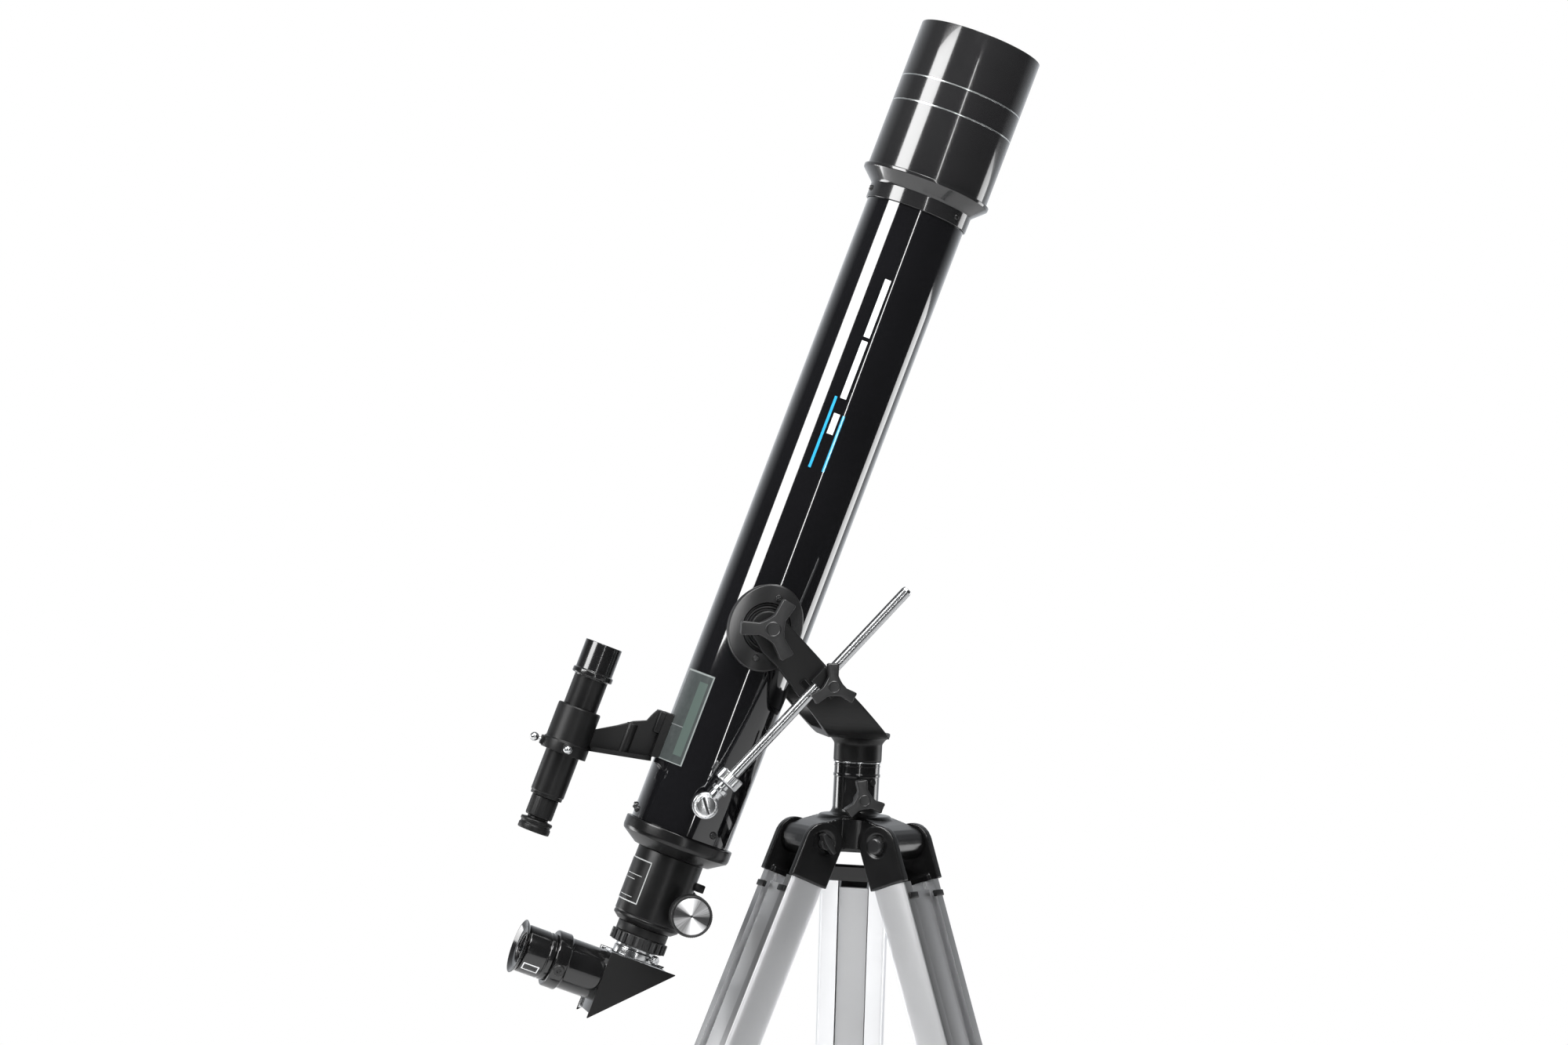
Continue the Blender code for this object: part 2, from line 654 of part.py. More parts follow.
def build_fork(hub_frame):
    """The fork turns on its spindle in the column; its two arms carry the tube."""
    azimuth = frame_at("azimuth_frame", hub_frame, (0, 0, COLUMN_TOP))
    base = ALTITUDE_RISE - BAND_DROP - COLUMN_TOP
    fork = piece(
        "fork",
        prism(fork_side_outline(), -ARM_OUTSIDE - 0.002, ARM_OUTSIDE + 0.002, "Y"),
        SATIN_BLACK,
        azimuth,
        (-ALTITUDE_OFFSET, 0, ALTITUDE_RISE - COLUMN_TOP),
    )
    combine(fork, "INTERSECT", prism(fork_front_outline(), -0.03, ALTITUDE_OFFSET + 0.03, "X"))
    profile = [
        (0, base + 0.004),
        (RIM_RADIUS, base + 0.004),
        (RIM_RADIUS, base),
        (FLANGE_RADIUS, base - 0.002),
        (NECK_RADIUS, base - 0.004),
        (NECK_RADIUS, FIT),
        (SPINDLE_RADIUS, FIT),
        (SPINDLE_RADIUS, -SPINDLE_DEPTH),
        (0, -SPINDLE_DEPTH),
    ]
    join(fork, turned(profile, MEDIUM), (ALTITUDE_OFFSET, 0, COLUMN_TOP - ALTITUDE_RISE))
    reach = ARM_OUTSIDE + 0.005
    cut(fork, rod_shape(BOLT_RADIUS + FIT, -reach, reach), rotation=NEAR)
    return azimuth


def build_tilt(azimuth):
    """The frame on the altitude axis that carries the whole tube."""
    place = (-ALTITUDE_OFFSET, 0, ALTITUDE_RISE - COLUMN_TOP)
    altitude = frame_at("altitude_frame", azimuth, place, (0, TUBE_TILT, 0))
    knobs = frame_at("altitude_knob_frame", azimuth, place)
    tip = TUBE_RADIUS + 3 * FIT
    for name, rotation in (("altitude_knob_near", NEAR), ("altitude_knob_far", FAR)):
        wing_knob(
            name,
            knobs,
            tip,
            ARM_OUTSIDE + FIT,
            KNOB_REACH,
            KNOB_LOBE_WIDTH,
            math.radians(180),
            rotation=rotation,
        )
    return altitude


def rod_direction():
    """Where the rod pivots on the tube, and its lean from the tube's own axis.

    The rod passes the clamp's stud on the far side from the altitude axis' rear.
    """
    cosine, sine = math.cos(TUBE_TILT), math.sin(TUBE_TILT)
    pivot = Vector((ROD_PIVOT.x * cosine + ROD_PIVOT.y * sine, -ROD_PIVOT.x * sine + ROD_PIVOT.y * cosine))
    run = ROD_CLAMP - pivot
    angle = math.atan2(run.y, run.x) + math.asin(ROD_CLAMP_OFFSET / run.length)
    lean = math.pi / 2 - angle - TUBE_TILT
    return lean, math.sqrt(run.length**2 - ROD_CLAMP_OFFSET**2)


def build_rod(altitude):
    """The steady rod with its eye, the knurled nut on it, and the clamp that grips it."""
    lean, clamp_place = rod_direction()
    pivot = (ROD_PIVOT.x, -ROD_PLANE, ROD_PIVOT.y)
    rod_frame = frame_at("rod_frame", altitude, pivot, (0, lean, 0))
    eye_half = ROD_RADIUS + 0.0003
    rod = piece("steady_rod", rod_shape(ROD_RADIUS, EYE_RADIUS * 0.7, ROD_LENGTH), CHROME, rod_frame)
    join(rod, rod_shape(EYE_RADIUS, -eye_half, eye_half, SMALL), rotation=NEAR)
    cut(rod, rod_shape(BOLT_RADIUS + FIT, -0.01, 0.01), rotation=NEAR)
    bore = ROD_RADIUS + FIT
    low = NUT_PLACE - NUT_LENGTH / 2
    high = NUT_PLACE + NUT_LENGTH / 2
    nut = turned([(bore, low), (bore, high), (NUT_RADIUS, high), (NUT_RADIUS, low)], SMALL)
    piece("fine_adjust_nut", nut, CHROME, rod_frame)
    build_rod_clamp(rod_frame, clamp_place)


def build_rod_clamp(rod_frame, clamp_place):
    """A block that slides on the rod against the fork's near arm, locked by a wing knob."""
    clamp = frame_at("clamp_frame", rod_frame, (0, 0, clamp_place))
    back = ROD_PLANE - ARM_OUTSIDE - FIT
    front = ROD_RADIUS + 0.0025
    low = (-ROD_RADIUS - 0.0025, -front, -0.007)
    block = piece("rod_clamp_block", box(low, (ROD_CLAMP_OFFSET + 0.0065, back, 0.007)), SATIN_BLACK, clamp)
    cut(block, rod_shape(ROD_RADIUS + FIT, -0.012, 0.012))
    stud = BOLT_RADIUS * 0.6
    depth = front - 0.004
    cut(block, rod_shape(stud + FIT, depth - 2 * FIT, front + 0.002), (ROD_CLAMP_OFFSET, 0, 0), NEAR)
    crown = front + 0.004
    stem = SMALL_LOBE_WIDTH * 0.62
    profile = [
        (0, crown + 0.001),
        (stem, crown + 0.001),
        (stem, front + FIT),
        (stud, front + FIT),
        (stud, depth),
        (0, depth),
    ]
    lean = rod_direction()[0] + TUBE_TILT
    turn = math.radians(94) + lean
    knob = piece("rod_clamp_knob", turned(profile, TINY), SATIN_BLACK, clamp, (ROD_CLAMP_OFFSET, 0, 0), NEAR)
    outline = wing_outline(SMALL_KNOB_REACH, SMALL_LOBE_WIDTH, turn)
    join(knob, prism(outline, crown, crown + KNOB_THICKNESS * 0.8))


# ---------------------------------------------------------------- optical tube


def build_tube(altitude):
    """The main tube, with the post and bolt that the steady rod turns on."""
    inside = TUBE_RADIUS - TUBE_WALL
    profile = [(inside, TUBE_TAIL), (inside, TUBE_FRONT), (TUBE_RADIUS, TUBE_FRONT), (TUBE_RADIUS, TUBE_TAIL)]
    tube = piece("main_tube", turned(profile, LARGE), GLOSS_BLACK, altitude)
    eye_half = ROD_RADIUS + 2 * FIT
    post = ROD_PLANE - eye_half
    head = ROD_PLANE + eye_half
    bolt = [
        (0, head + 0.003),
        (0.007, head + 0.003),
        (0.007, head),
        (BOLT_RADIUS, head),
        (BOLT_RADIUS, post),
        (0.007, post),
        (0.007, inside + TUBE_WALL / 2),
        (0, inside + TUBE_WALL / 2),
    ]
    join(tube, turned(bolt, TINY), (ROD_PIVOT.x, 0, ROD_PIVOT.y), NEAR)
    hug = TUBE_RADIUS + FIT
    crown = hug + PAD_THICKNESS
    for name, side in (("altitude_pad_near", -1), ("altitude_pad_far", 1)):
        outline = [
            (PAD_HALF_WIDTH * math.cos(math.tau * step / MEDIUM), PAD_HALF_HEIGHT * math.sin(math.tau * step / MEDIUM))
            for step in range(MEDIUM)
        ]
        low, high = sorted((side * 0.012, side * (TUBE_RADIUS + 0.012)))
        pad = piece(name, prism(outline, low, high, "Y"), SATIN_BLACK, altitude)
        ring = [(hug, -0.04), (hug, 0.04), (crown, 0.04), (crown, -0.04)]
        combine(pad, "INTERSECT", turned(ring, LARGE))
        low, high = sorted((side * (TUBE_RADIUS - 0.008), side * (TUBE_RADIUS + 0.012)))
        cut(pad, rod_shape(BOLT_RADIUS + FIT, -high, -low), rotation=NEAR)


def build_objective(altitude):
    """The cell with its two lenses, and the dew shield in front."""
    tube_bore = TUBE_RADIUS + FIT
    spigot = SHIELD_RADIUS - SHIELD_WALL - FIT
    seat = LENS_RADIUS + FIT
    nose = CELL_LIP_TOP + 0.014
    profile = [
        (tube_bore, TUBE_FRONT - CELL_SKIRT),
        (tube_bore, TUBE_FRONT + FIT),
        (LENS_RADIUS - 0.0015, TUBE_FRONT + FIT),
        (LENS_RADIUS - 0.0015, LENS_SEAT),
        (seat, LENS_SEAT),
        (seat, nose),
        (spigot, nose),
        (spigot, CELL_LIP_TOP),
        (CELL_LIP_RADIUS, CELL_LIP_TOP),
        (CELL_LIP_RADIUS, CELL_LIP_TOP - 0.002),
        (TUBE_RADIUS + 0.0026, TUBE_FRONT - 0.002),
        (TUBE_RADIUS + 0.0015, TUBE_FRONT - CELL_SKIRT),
    ]
    piece("objective_cell", turned(profile, LARGE), SHIELD_GREY, altitude)
    bottom = CELL_LIP_TOP + FIT
    top = bottom + SHIELD_LENGTH
    inside = SHIELD_RADIUS - SHIELD_WALL
    shield = [(inside, bottom), (inside, top), (SHIELD_RADIUS, top), (SHIELD_RADIUS, bottom)]
    piece("dew_shield", turned(shield, LARGE), SHIELD_GREY, altitude)
    flint_low = LENS_SEAT + FIT
    flint_high = flint_low + FLINT_EDGE
    flint = [
        (0, flint_high - 0.0018),
        (LENS_RADIUS * 0.5, flint_high - 0.0013),
        (LENS_RADIUS, flint_high),
        (LENS_RADIUS, flint_low),
        (0, flint_low),
    ]
    piece("flint_lens", turned(flint, LARGE), GLASS, altitude)
    crown_low = flint_high + FIT
    crown_high = crown_low + CROWN_EDGE
    crown = [
        (0, crown_high + 0.0018),
        (LENS_RADIUS * 0.5, crown_high + 0.0013),
        (LENS_RADIUS, crown_high),
        (LENS_RADIUS, crown_low),
        (LENS_RADIUS * 0.5, crown_low - 0.0011),
        (0, crown_low - 0.0016),
    ]
    piece("crown_lens", turned(crown, LARGE), GLASS, altitude)


def build_focuser(altitude):
    """The rear cell and the focuser body with its pinion housing."""
    spigot = TUBE_RADIUS - TUBE_WALL - FIT
    seat = FOCUSER_RADIUS - 0.0026
    bore = DRAW_RADIUS + FIT
    rim_top = TUBE_TAIL - FIT
    rear = [
        (spigot - 0.0025, rim_top + 0.014),
        (spigot, rim_top + 0.014),
        (spigot, rim_top),
        (REAR_RIM_RADIUS, rim_top),
        (REAR_RIM_RADIUS, rim_top - 0.010),
        (FOCUSER_RADIUS + 0.0037, FOCUSER_TOP + FIT),
        (seat + FIT, FOCUSER_TOP + FIT),
        (seat + FIT, FOCUSER_TOP + 0.0063),
        (spigot - 0.0025, rim_top - 0.006),
    ]
    piece("rear_cell", turned(rear, LARGE), SATIN_BLACK, altitude)
    profile = [
        (bore, FOCUSER_TOP + 0.014),
        (seat, FOCUSER_TOP + 0.014),
        (seat, FOCUSER_TOP),
        (FOCUSER_RADIUS, FOCUSER_TOP),
        (FOCUSER_RADIUS, FOCUSER_BOTTOM + 0.0035),
        (FOCUSER_RADIUS - 0.0043, FOCUSER_BOTTOM),
        (bore, FOCUSER_BOTTOM),
    ]
    body = piece("focuser_body", turned(profile), SATIN_BLACK, altitude)
    x, z = PINION_PLACE
    housing = box((bore + 0.001, -0.012, z - 0.0105), (x + 0.0055, 0.012, z + 0.0105))
    join(body, housing)
    well = PINION_RADIUS + 2 * FIT
    cut(body, rod_shape(well, -0.0055, 0.0055, SMALL), (x, 0, z), NEAR)
    cut(body, rod_shape(SHAFT_RADIUS + FIT, -0.03, 0.03), (x, 0, z), NEAR)
    half = RACK_WIDTH / 2 + FIT
    cut(body, box((DRAW_RADIUS - 0.005, -half, FOCUSER_BOTTOM - 0.002), (RACK_REACH + FIT, half, FOCUSER_TOP + 0.016)))


def build_drawtube(altitude):
    """The drawtube and rack, the pinion that drives it, and its two knobs."""
    draw = frame_at("draw_frame", altitude)
    inside = DRAW_RADIUS - DRAW_WALL
    collar = FOCUSER_BOTTOM - FIT
    profile = [
        (inside, DRAW_TOP),
        (DRAW_RADIUS, DRAW_TOP),
        (DRAW_RADIUS, collar),
        (DRAW_COLLAR_RADIUS, collar),
        (DRAW_COLLAR_RADIUS, DRAW_END),
        (inside, DRAW_END),
    ]
    tube = piece("drawtube", turned(profile), SATIN_BLACK, draw)
    half = RACK_WIDTH / 2
    join(tube, box((inside + 0.0004, -half, collar + 0.001), (RACK_REACH, half, DRAW_TOP - 0.002)))
    pinion = frame_at("pinion_frame", altitude, (PINION_PLACE.x, 0, PINION_PLACE.y))
    shaft = piece("pinion_shaft", rod_shape(SHAFT_RADIUS, -SHAFT_REACH, SHAFT_REACH), CHROME, pinion, rotation=NEAR)
    teeth = ring_outline(PINION_RADIUS, 2 * PINION_TEETH, PINION_RADIUS * 0.8)
    join(shaft, prism(teeth, -RACK_WIDTH / 2, RACK_WIDTH / 2))
    bore = SHAFT_RADIUS + FIT
    face = FOCUS_KNOB_RADIUS - 0.002
    neck = 0.0075
    neck_start = math.sqrt(FOCUSER_RADIUS**2 - (PINION_PLACE.x - neck) ** 2) + 2 * FIT
    for name, rotation in (("focus_knob_near", NEAR), ("focus_knob_far", FAR)):
        knob = [
            (0, SHAFT_REACH + FIT),
            (bore, SHAFT_REACH + FIT),
            (bore, neck_start),
            (neck, neck_start),
            (neck, FOCUS_KNOB_START),
            (FOCUS_KNOB_RADIUS, FOCUS_KNOB_START),
            (FOCUS_KNOB_RADIUS, FOCUS_KNOB_END - 0.001),
            (face, FOCUS_KNOB_END),
            (0, FOCUS_KNOB_END),
        ]
        piece(name, turned(knob), SATIN_BLACK, pinion, rotation=rotation)
    return draw


# ---------------------------------------------------------------- diagonal, eyepiece and finder


def build_diagonal(draw):
    """The clamp ring, the right-angle prism housing with its nosepiece, and the eyepiece."""
    ring_inside = BARREL_RADIUS + FIT
    ring_top = DRAW_END - FIT
    ring_low = ring_top - CLAMP_RING_LENGTH
    steps = 2 * FLUTES
    ring = pipe(
        ring_outline(CLAMP_RING_RADIUS, steps, CLAMP_RING_RADIUS - 0.001),
        ring_outline(ring_inside, steps),
        ring_low,
        ring_top,
    )
    piece("clamp_ring", ring, SATIN_BLACK, draw)
    diagonal = frame_at("diagonal_frame", draw, (0, 0, DIAGONAL_TOP), (0, 0, DIAGONAL_TURN))
    build_prism_housing(diagonal)
    bore = BARREL_RADIUS - BARREL_WALL
    nose_top = 0.034
    nose = [(bore, FIT), (bore, nose_top), (BARREL_RADIUS, nose_top), (BARREL_RADIUS, FIT)]
    piece("nosepiece", turned(nose), CHROME, diagonal)
    eyepiece = frame_at("eyepiece_frame", diagonal, (0, 0, -EYEPIECE_DROP), REARWARD)
    build_eyepiece(eyepiece)


def build_prism_housing(diagonal):
    outline = [
        (-DIAGONAL_BACK, 0),
        (-DIAGONAL_BACK, -DIAGONAL_LEG),
        (DIAGONAL_LEG - DIAGONAL_BACK, 0),
    ]
    half = DIAGONAL_HALF_WIDTH
    housing = piece("diagonal_housing", prism(outline, -half, half, "Y"), SATIN_BLACK, diagonal)
    cut(housing, prism(inset_corner(DIAGONAL_WALL), -half + DIAGONAL_WALL, half - DIAGONAL_WALL, "Y"))
    cut(housing, rod_shape(BARREL_RADIUS - BARREL_WALL, -0.005, 0.005, MEDIUM))
    start = DIAGONAL_BACK - 0.001
    bore = BARREL_RADIUS + FIT
    holder = [
        (0.010, start),
        (0.010, HOLDER_END),
        (HOLDER_RING_RADIUS, HOLDER_END),
        (HOLDER_RING_RADIUS, HOLDER_RING_START),
        (HOLDER_RADIUS, HOLDER_RING_START),
        (HOLDER_RADIUS, start),
    ]
    join(housing, turned(holder), (0, 0, -EYEPIECE_DROP), REARWARD)
    cut(housing, rod_shape(bore, start - 0.003, HOLDER_END + 0.002, MEDIUM), (0, 0, -EYEPIECE_DROP), REARWARD)
    glass = prism(inset_corner(DIAGONAL_WALL + 0.0008), -half + 0.003, half - 0.003, "Y")
    piece("diagonal_prism", glass, GLASS, diagonal)


def inset_corner(inset):
    """The housing's outline with every side moved inwards by the same amount."""
    far = DIAGONAL_LEG - inset * (1 + math.sqrt(2))
    return [
        (-DIAGONAL_BACK + inset, -inset),
        (-DIAGONAL_BACK + inset, -far),
        (far - DIAGONAL_BACK, -inset),
    ]


def build_eyepiece(eyepiece):
    inside = BARREL_RADIUS - BARREL_WALL
    body_start = HOLDER_END + FIT
    barrel = [
        (inside, 0.030),
        (inside, body_start + 0.003),
        (0.010, body_start + 0.006),
        (0.010, EYEPIECE_END),
        (EYEPIECE_RADIUS, EYEPIECE_END),
        (EYEPIECE_RADIUS, body_start),
        (BARREL_RADIUS, body_start),
        (BARREL_RADIUS, 0.030),
    ]
    piece("eyepiece", turned(barrel), GLOSS_BLACK, eyepiece)
    start = EYEPIECE_END + FIT
    cup = [
        (0.0115, start),
        (0.0115, start + 0.001),
        (EYECUP_RADIUS - 0.0015, start + EYECUP_LENGTH),
        (EYECUP_RADIUS, start + EYECUP_LENGTH),
        (EYECUP_RADIUS, start + EYECUP_LENGTH - 0.001),
        (EYEPIECE_RADIUS - 0.0005, start),
    ]
    piece("eyecup", turned(cup), RUBBER_BLACK, eyepiece)


def build_finder(altitude):
    """The finder scope in its bracket, beside the tube's tail."""
    finder = frame_at("finder_frame", altitude, (-FINDER_OFFSET, 0, FINDER_FRONT), (math.pi, 0, 0))
    bore = FINDER_RADIUS - 0.0013
    tube = [
        (HOOD_RADIUS - 0.0012, 0),
        (HOOD_RADIUS, 0),
        (HOOD_RADIUS, HOOD_LENGTH - 0.0045),
        (HOOD_RADIUS + 0.0014, HOOD_LENGTH - 0.004),
        (HOOD_RADIUS + 0.0014, HOOD_LENGTH),
        (FINDER_RADIUS, HOOD_LENGTH),
        (FINDER_RADIUS, FINDER_TAIL),
        (OCULAR_RADIUS - 0.0015, FINDER_TAIL),
        (OCULAR_RADIUS - 0.0015, FINDER_TAIL - 0.004),
        (bore, FINDER_TAIL - 0.008),
        (bore, 0.026),
        (HOOD_RADIUS - 0.0012, 0.018),
    ]
    piece("finder_tube", turned(tube, SMALL), GLOSS_BLACK, finder)
    edge = HOOD_RADIUS - 0.0014
    lens = [(0, 0.0135), (edge * 0.7, 0.0143), (edge, 0.0155), (edge, 0.0175), (0, 0.0175)]
    piece("finder_lens", turned(lens, SMALL), GLASS, finder)
    start = FINDER_TAIL + FIT
    sleeve = OCULAR_RADIUS - 0.0015 - FIT
    ocular = [
        (0.0055, FINDER_TAIL - 0.012),
        (0.0055, FINDER_END - 0.002),
        (0.010, FINDER_END),
        (0.0122, FINDER_END),
        (0.0122, FINDER_END - 0.009),
        (0.0079, FINDER_END - 0.0095),
        (0.0079, OCULAR_END),
        (OCULAR_RADIUS, OCULAR_END),
        (OCULAR_RADIUS, start),
        (sleeve, start),
        (sleeve, FINDER_TAIL - 0.012),
    ]
    piece("finder_eyepiece", turned(ocular, SMALL), SATIN_BLACK, finder)
    build_finder_bracket(altitude)


def build_finder_bracket(altitude):
    """A ring round the finder, on a web and a saddle foot that is screwed to the tube."""
    top = FINDER_FRONT - BRACKET_START
    low = FINDER_FRONT - BRACKET_END
    web_low = low + WEB_ABOVE_RING
    inside = FINDER_RADIUS + 0.0012
    ring = [
        (inside, top),
        (inside, low),
        (BRACKET_RADIUS + 0.0012, low),
        (BRACKET_RADIUS + 0.0012, low + 0.009),
        (BRACKET_RADIUS, low + 0.009),
        (BRACKET_RADIUS, top),
    ]
    bracket = piece("finder_bracket", turned(ring), SATIN_BLACK, altitude, (-FINDER_OFFSET, 0, 0))
    reach = FINDER_OFFSET - TUBE_RADIUS - FIT
    start = (BRACKET_RADIUS + inside) / 2
    web = [
        (start, web_low + 0.0185),
        (start, web_low + 0.002),
        (reach - 0.010, web_low + 0.010),
        (reach - 0.001, web_low + 0.0155),
        (reach - 0.001, -0.084),
        (reach - 0.010, -0.084),
        (reach - 0.014, -0.0935),
    ]
    join(bracket, prism(web, -0.0025, 0.0025, "Y"))
    shelf = [
        (start, web_low + 0.0045),
        (start, web_low + 0.001),
        (reach - 0.012, web_low + 0.0075),
        (reach - 0.001, web_low + 0.0145),
        (reach - 0.001, web_low + 0.0180),
        (reach - 0.012, web_low + 0.0110),
    ]
    join(bracket, prism(shelf, -0.0085, 0.0085, "Y"))
    boss = rod_shape(0.0045, web_low + 0.006, web_low + 0.030)
    join(bracket, boss, (reach - 0.0235, 0, 0))
    foot = box((reach - 0.004, -0.011, web_low + 0.0155), (reach + 0.006, 0.011, -0.084))
    join(bracket, foot)
    cut(bracket, rod_shape(TUBE_RADIUS + FIT, low - 0.02, -0.06, LARGE), (FINDER_OFFSET, 0, 0))


# ---------------------------------------------------------------- the whole


def stand_on_floor(root):
    """Move the whole so that the middle of its box's base is the origin."""
    bpy.context.view_layer.update()
    graph = bpy.context.evaluated_depsgraph_get()
    low = Vector((math.inf,) * 3)
    high = -low
    for made in bpy.data.objects:
        if made.type != "MESH" or made.hide_render:
            continue
        evaluated = made.evaluated_get(graph)
        for vertex in evaluated.data.vertices:
            place = evaluated.matrix_world @ vertex.co
            low = Vector(map(min, low, place))
            high = Vector(map(max, high, place))
    root.location = (-(low.x + high.x) / 2, -(low.y + high.y) / 2, -low.z)
    bpy.context.view_layer.update()


def clear_scene():
    for old in list(bpy.data.objects):
        bpy.data.objects.remove(old, do_unlink=True)


def main():
    clear_scene()
    root = frame_at("telescope", None)
    hub_frame = build_hub(root)
    for number, turn in enumerate(LEG_TURNS, start=1):
        leg = build_leg(number, turn, hub_frame)
        build_strut(number, leg)
    build_tray(hub_frame)
    azimuth = build_fork(hub_frame)
    altitude = build_tilt(azimuth)
    build_tube(altitude)
    build_objective(altitude)
    build_focuser(altitude)
    draw = build_drawtube(altitude)
    build_diagonal(draw)
    build_rod(altitude)
    build_finder(altitude)
    stand_on_floor(root)


main()
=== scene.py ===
# %% [markdown]
# # A refracting telescope on its tripod
# This notebook dresses a mechanical frame: every moving part already exists as a simple solid, and
# each cell below builds the finished piece that stands for one or more of those solids.
# The frame comes with its joints, so a placement is read from a joint's axis and never typed in.
# %% Load the frame
import json
import math

import bmesh
import bpy
from mathutils import Matrix, Vector

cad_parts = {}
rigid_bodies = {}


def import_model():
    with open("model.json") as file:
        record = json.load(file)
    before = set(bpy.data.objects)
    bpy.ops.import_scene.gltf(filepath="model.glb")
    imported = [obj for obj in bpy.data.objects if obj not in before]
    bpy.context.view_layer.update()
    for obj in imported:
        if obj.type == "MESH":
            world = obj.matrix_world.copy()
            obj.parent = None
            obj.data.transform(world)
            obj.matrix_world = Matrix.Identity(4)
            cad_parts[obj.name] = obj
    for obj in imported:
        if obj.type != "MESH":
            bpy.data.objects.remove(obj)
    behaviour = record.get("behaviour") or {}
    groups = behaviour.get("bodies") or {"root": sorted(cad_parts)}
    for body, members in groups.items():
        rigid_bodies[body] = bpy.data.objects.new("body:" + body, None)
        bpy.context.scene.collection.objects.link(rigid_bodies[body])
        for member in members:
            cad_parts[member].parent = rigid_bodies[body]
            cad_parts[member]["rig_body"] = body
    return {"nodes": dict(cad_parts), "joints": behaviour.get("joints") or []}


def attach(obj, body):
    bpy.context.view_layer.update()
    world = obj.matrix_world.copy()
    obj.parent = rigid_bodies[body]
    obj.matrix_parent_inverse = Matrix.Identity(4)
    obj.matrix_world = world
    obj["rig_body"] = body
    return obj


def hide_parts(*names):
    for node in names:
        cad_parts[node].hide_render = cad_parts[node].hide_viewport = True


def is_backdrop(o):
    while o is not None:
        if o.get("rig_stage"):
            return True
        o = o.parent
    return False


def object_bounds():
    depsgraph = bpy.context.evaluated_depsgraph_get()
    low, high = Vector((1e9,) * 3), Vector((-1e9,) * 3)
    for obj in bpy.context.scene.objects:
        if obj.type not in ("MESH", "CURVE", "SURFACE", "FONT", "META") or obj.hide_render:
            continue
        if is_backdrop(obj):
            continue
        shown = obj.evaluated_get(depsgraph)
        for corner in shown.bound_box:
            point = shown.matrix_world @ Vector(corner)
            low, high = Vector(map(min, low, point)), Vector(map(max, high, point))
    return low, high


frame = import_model()
cad_low, cad_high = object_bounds()
bpy.context.scene.view_settings.view_transform = "Standard"

# %% [markdown]
# A placement is a 4 x 4 matrix: where a piece's own origin sits and which way its own Z runs.
# Turned pieces are drawn round their own Z, then the matrix is baked into the mesh, so the finished
# object itself stays at the origin. That keeps procedural patterns from sliding when a body moves.
# %% Placements read from the joints
JOINTS = {joint["name"]: joint for joint in frame["joints"]}


def axis_of(joint):
    return Vector(JOINTS[joint]["axis"]).normalized()


def point_of(joint):
    return Vector(JOINTS[joint]["pos_m"])


def placement(origin, x, y, z):
    """The matrix that carries a piece's own axes onto these three directions."""
    matrix = Matrix((x, y, z)).transposed().to_4x4()
    matrix.translation = origin
    return matrix


def shifted(base, x=0.0, y=0.0, z=0.0):
    return base @ Matrix.Translation((x, y, z))


def facing(base, sign):
    """Local Z turned to point out of the near side (sign 1) or the far side (sign -1)."""
    return base @ Matrix.Rotation(math.radians(90 * sign), 4, "X")


print("joints to read from:", len(JOINTS))

# %% Where each group of pieces stands
ACROSS = Vector((0, 1, 0))
UP = Vector((0, 0, 1))
tube_axis = -axis_of("focus_slide")
TUBE = placement(point_of("altitude_tilt"), ACROSS.cross(tube_axis), ACROSS, tube_axis)
FORK = Matrix.Translation(point_of("altitude_tilt"))
ROD = placement(
    point_of("rod_swing"), ACROSS.cross(axis_of("rod_clamp_slide")), ACROSS, axis_of("rod_clamp_slide")
)
PINION = TUBE.copy()
PINION.translation = point_of("pinion_turn")
diagonal_x = -axis_of("eyepiece_slide")
diagonal_z = axis_of("diagonal_turn")
DIAGONAL = placement(point_of("diagonal_turn"), diagonal_x, diagonal_z.cross(diagonal_x), diagonal_z)
EYEPIECE = shifted(DIAGONAL, z=-0.0205) @ Matrix.Rotation(math.radians(-90), 4, "Y")
FINDER = shifted(TUBE, x=-0.103, z=-0.0539) @ Matrix.Rotation(math.pi, 4, "X")
column = point_of("azimuth_turn")
HUB = Matrix.Translation((column.x, column.y, point_of("leg_1_fold").z))
LEGS = {
    number: placement(
        point_of(f"leg_{number}_fold"),
        axis_of(f"leg_{number}_knob_turn"),
        axis_of(f"leg_{number}_fold"),
        -axis_of(f"leg_{number}_extend"),
    )
    for number in (1, 2, 3)
}
lean = math.degrees(math.acos(tube_axis.z))
print("tube leans", round(lean, 1), "degrees; legs:", [round(LEGS[k].translation.x, 4) for k in LEGS])

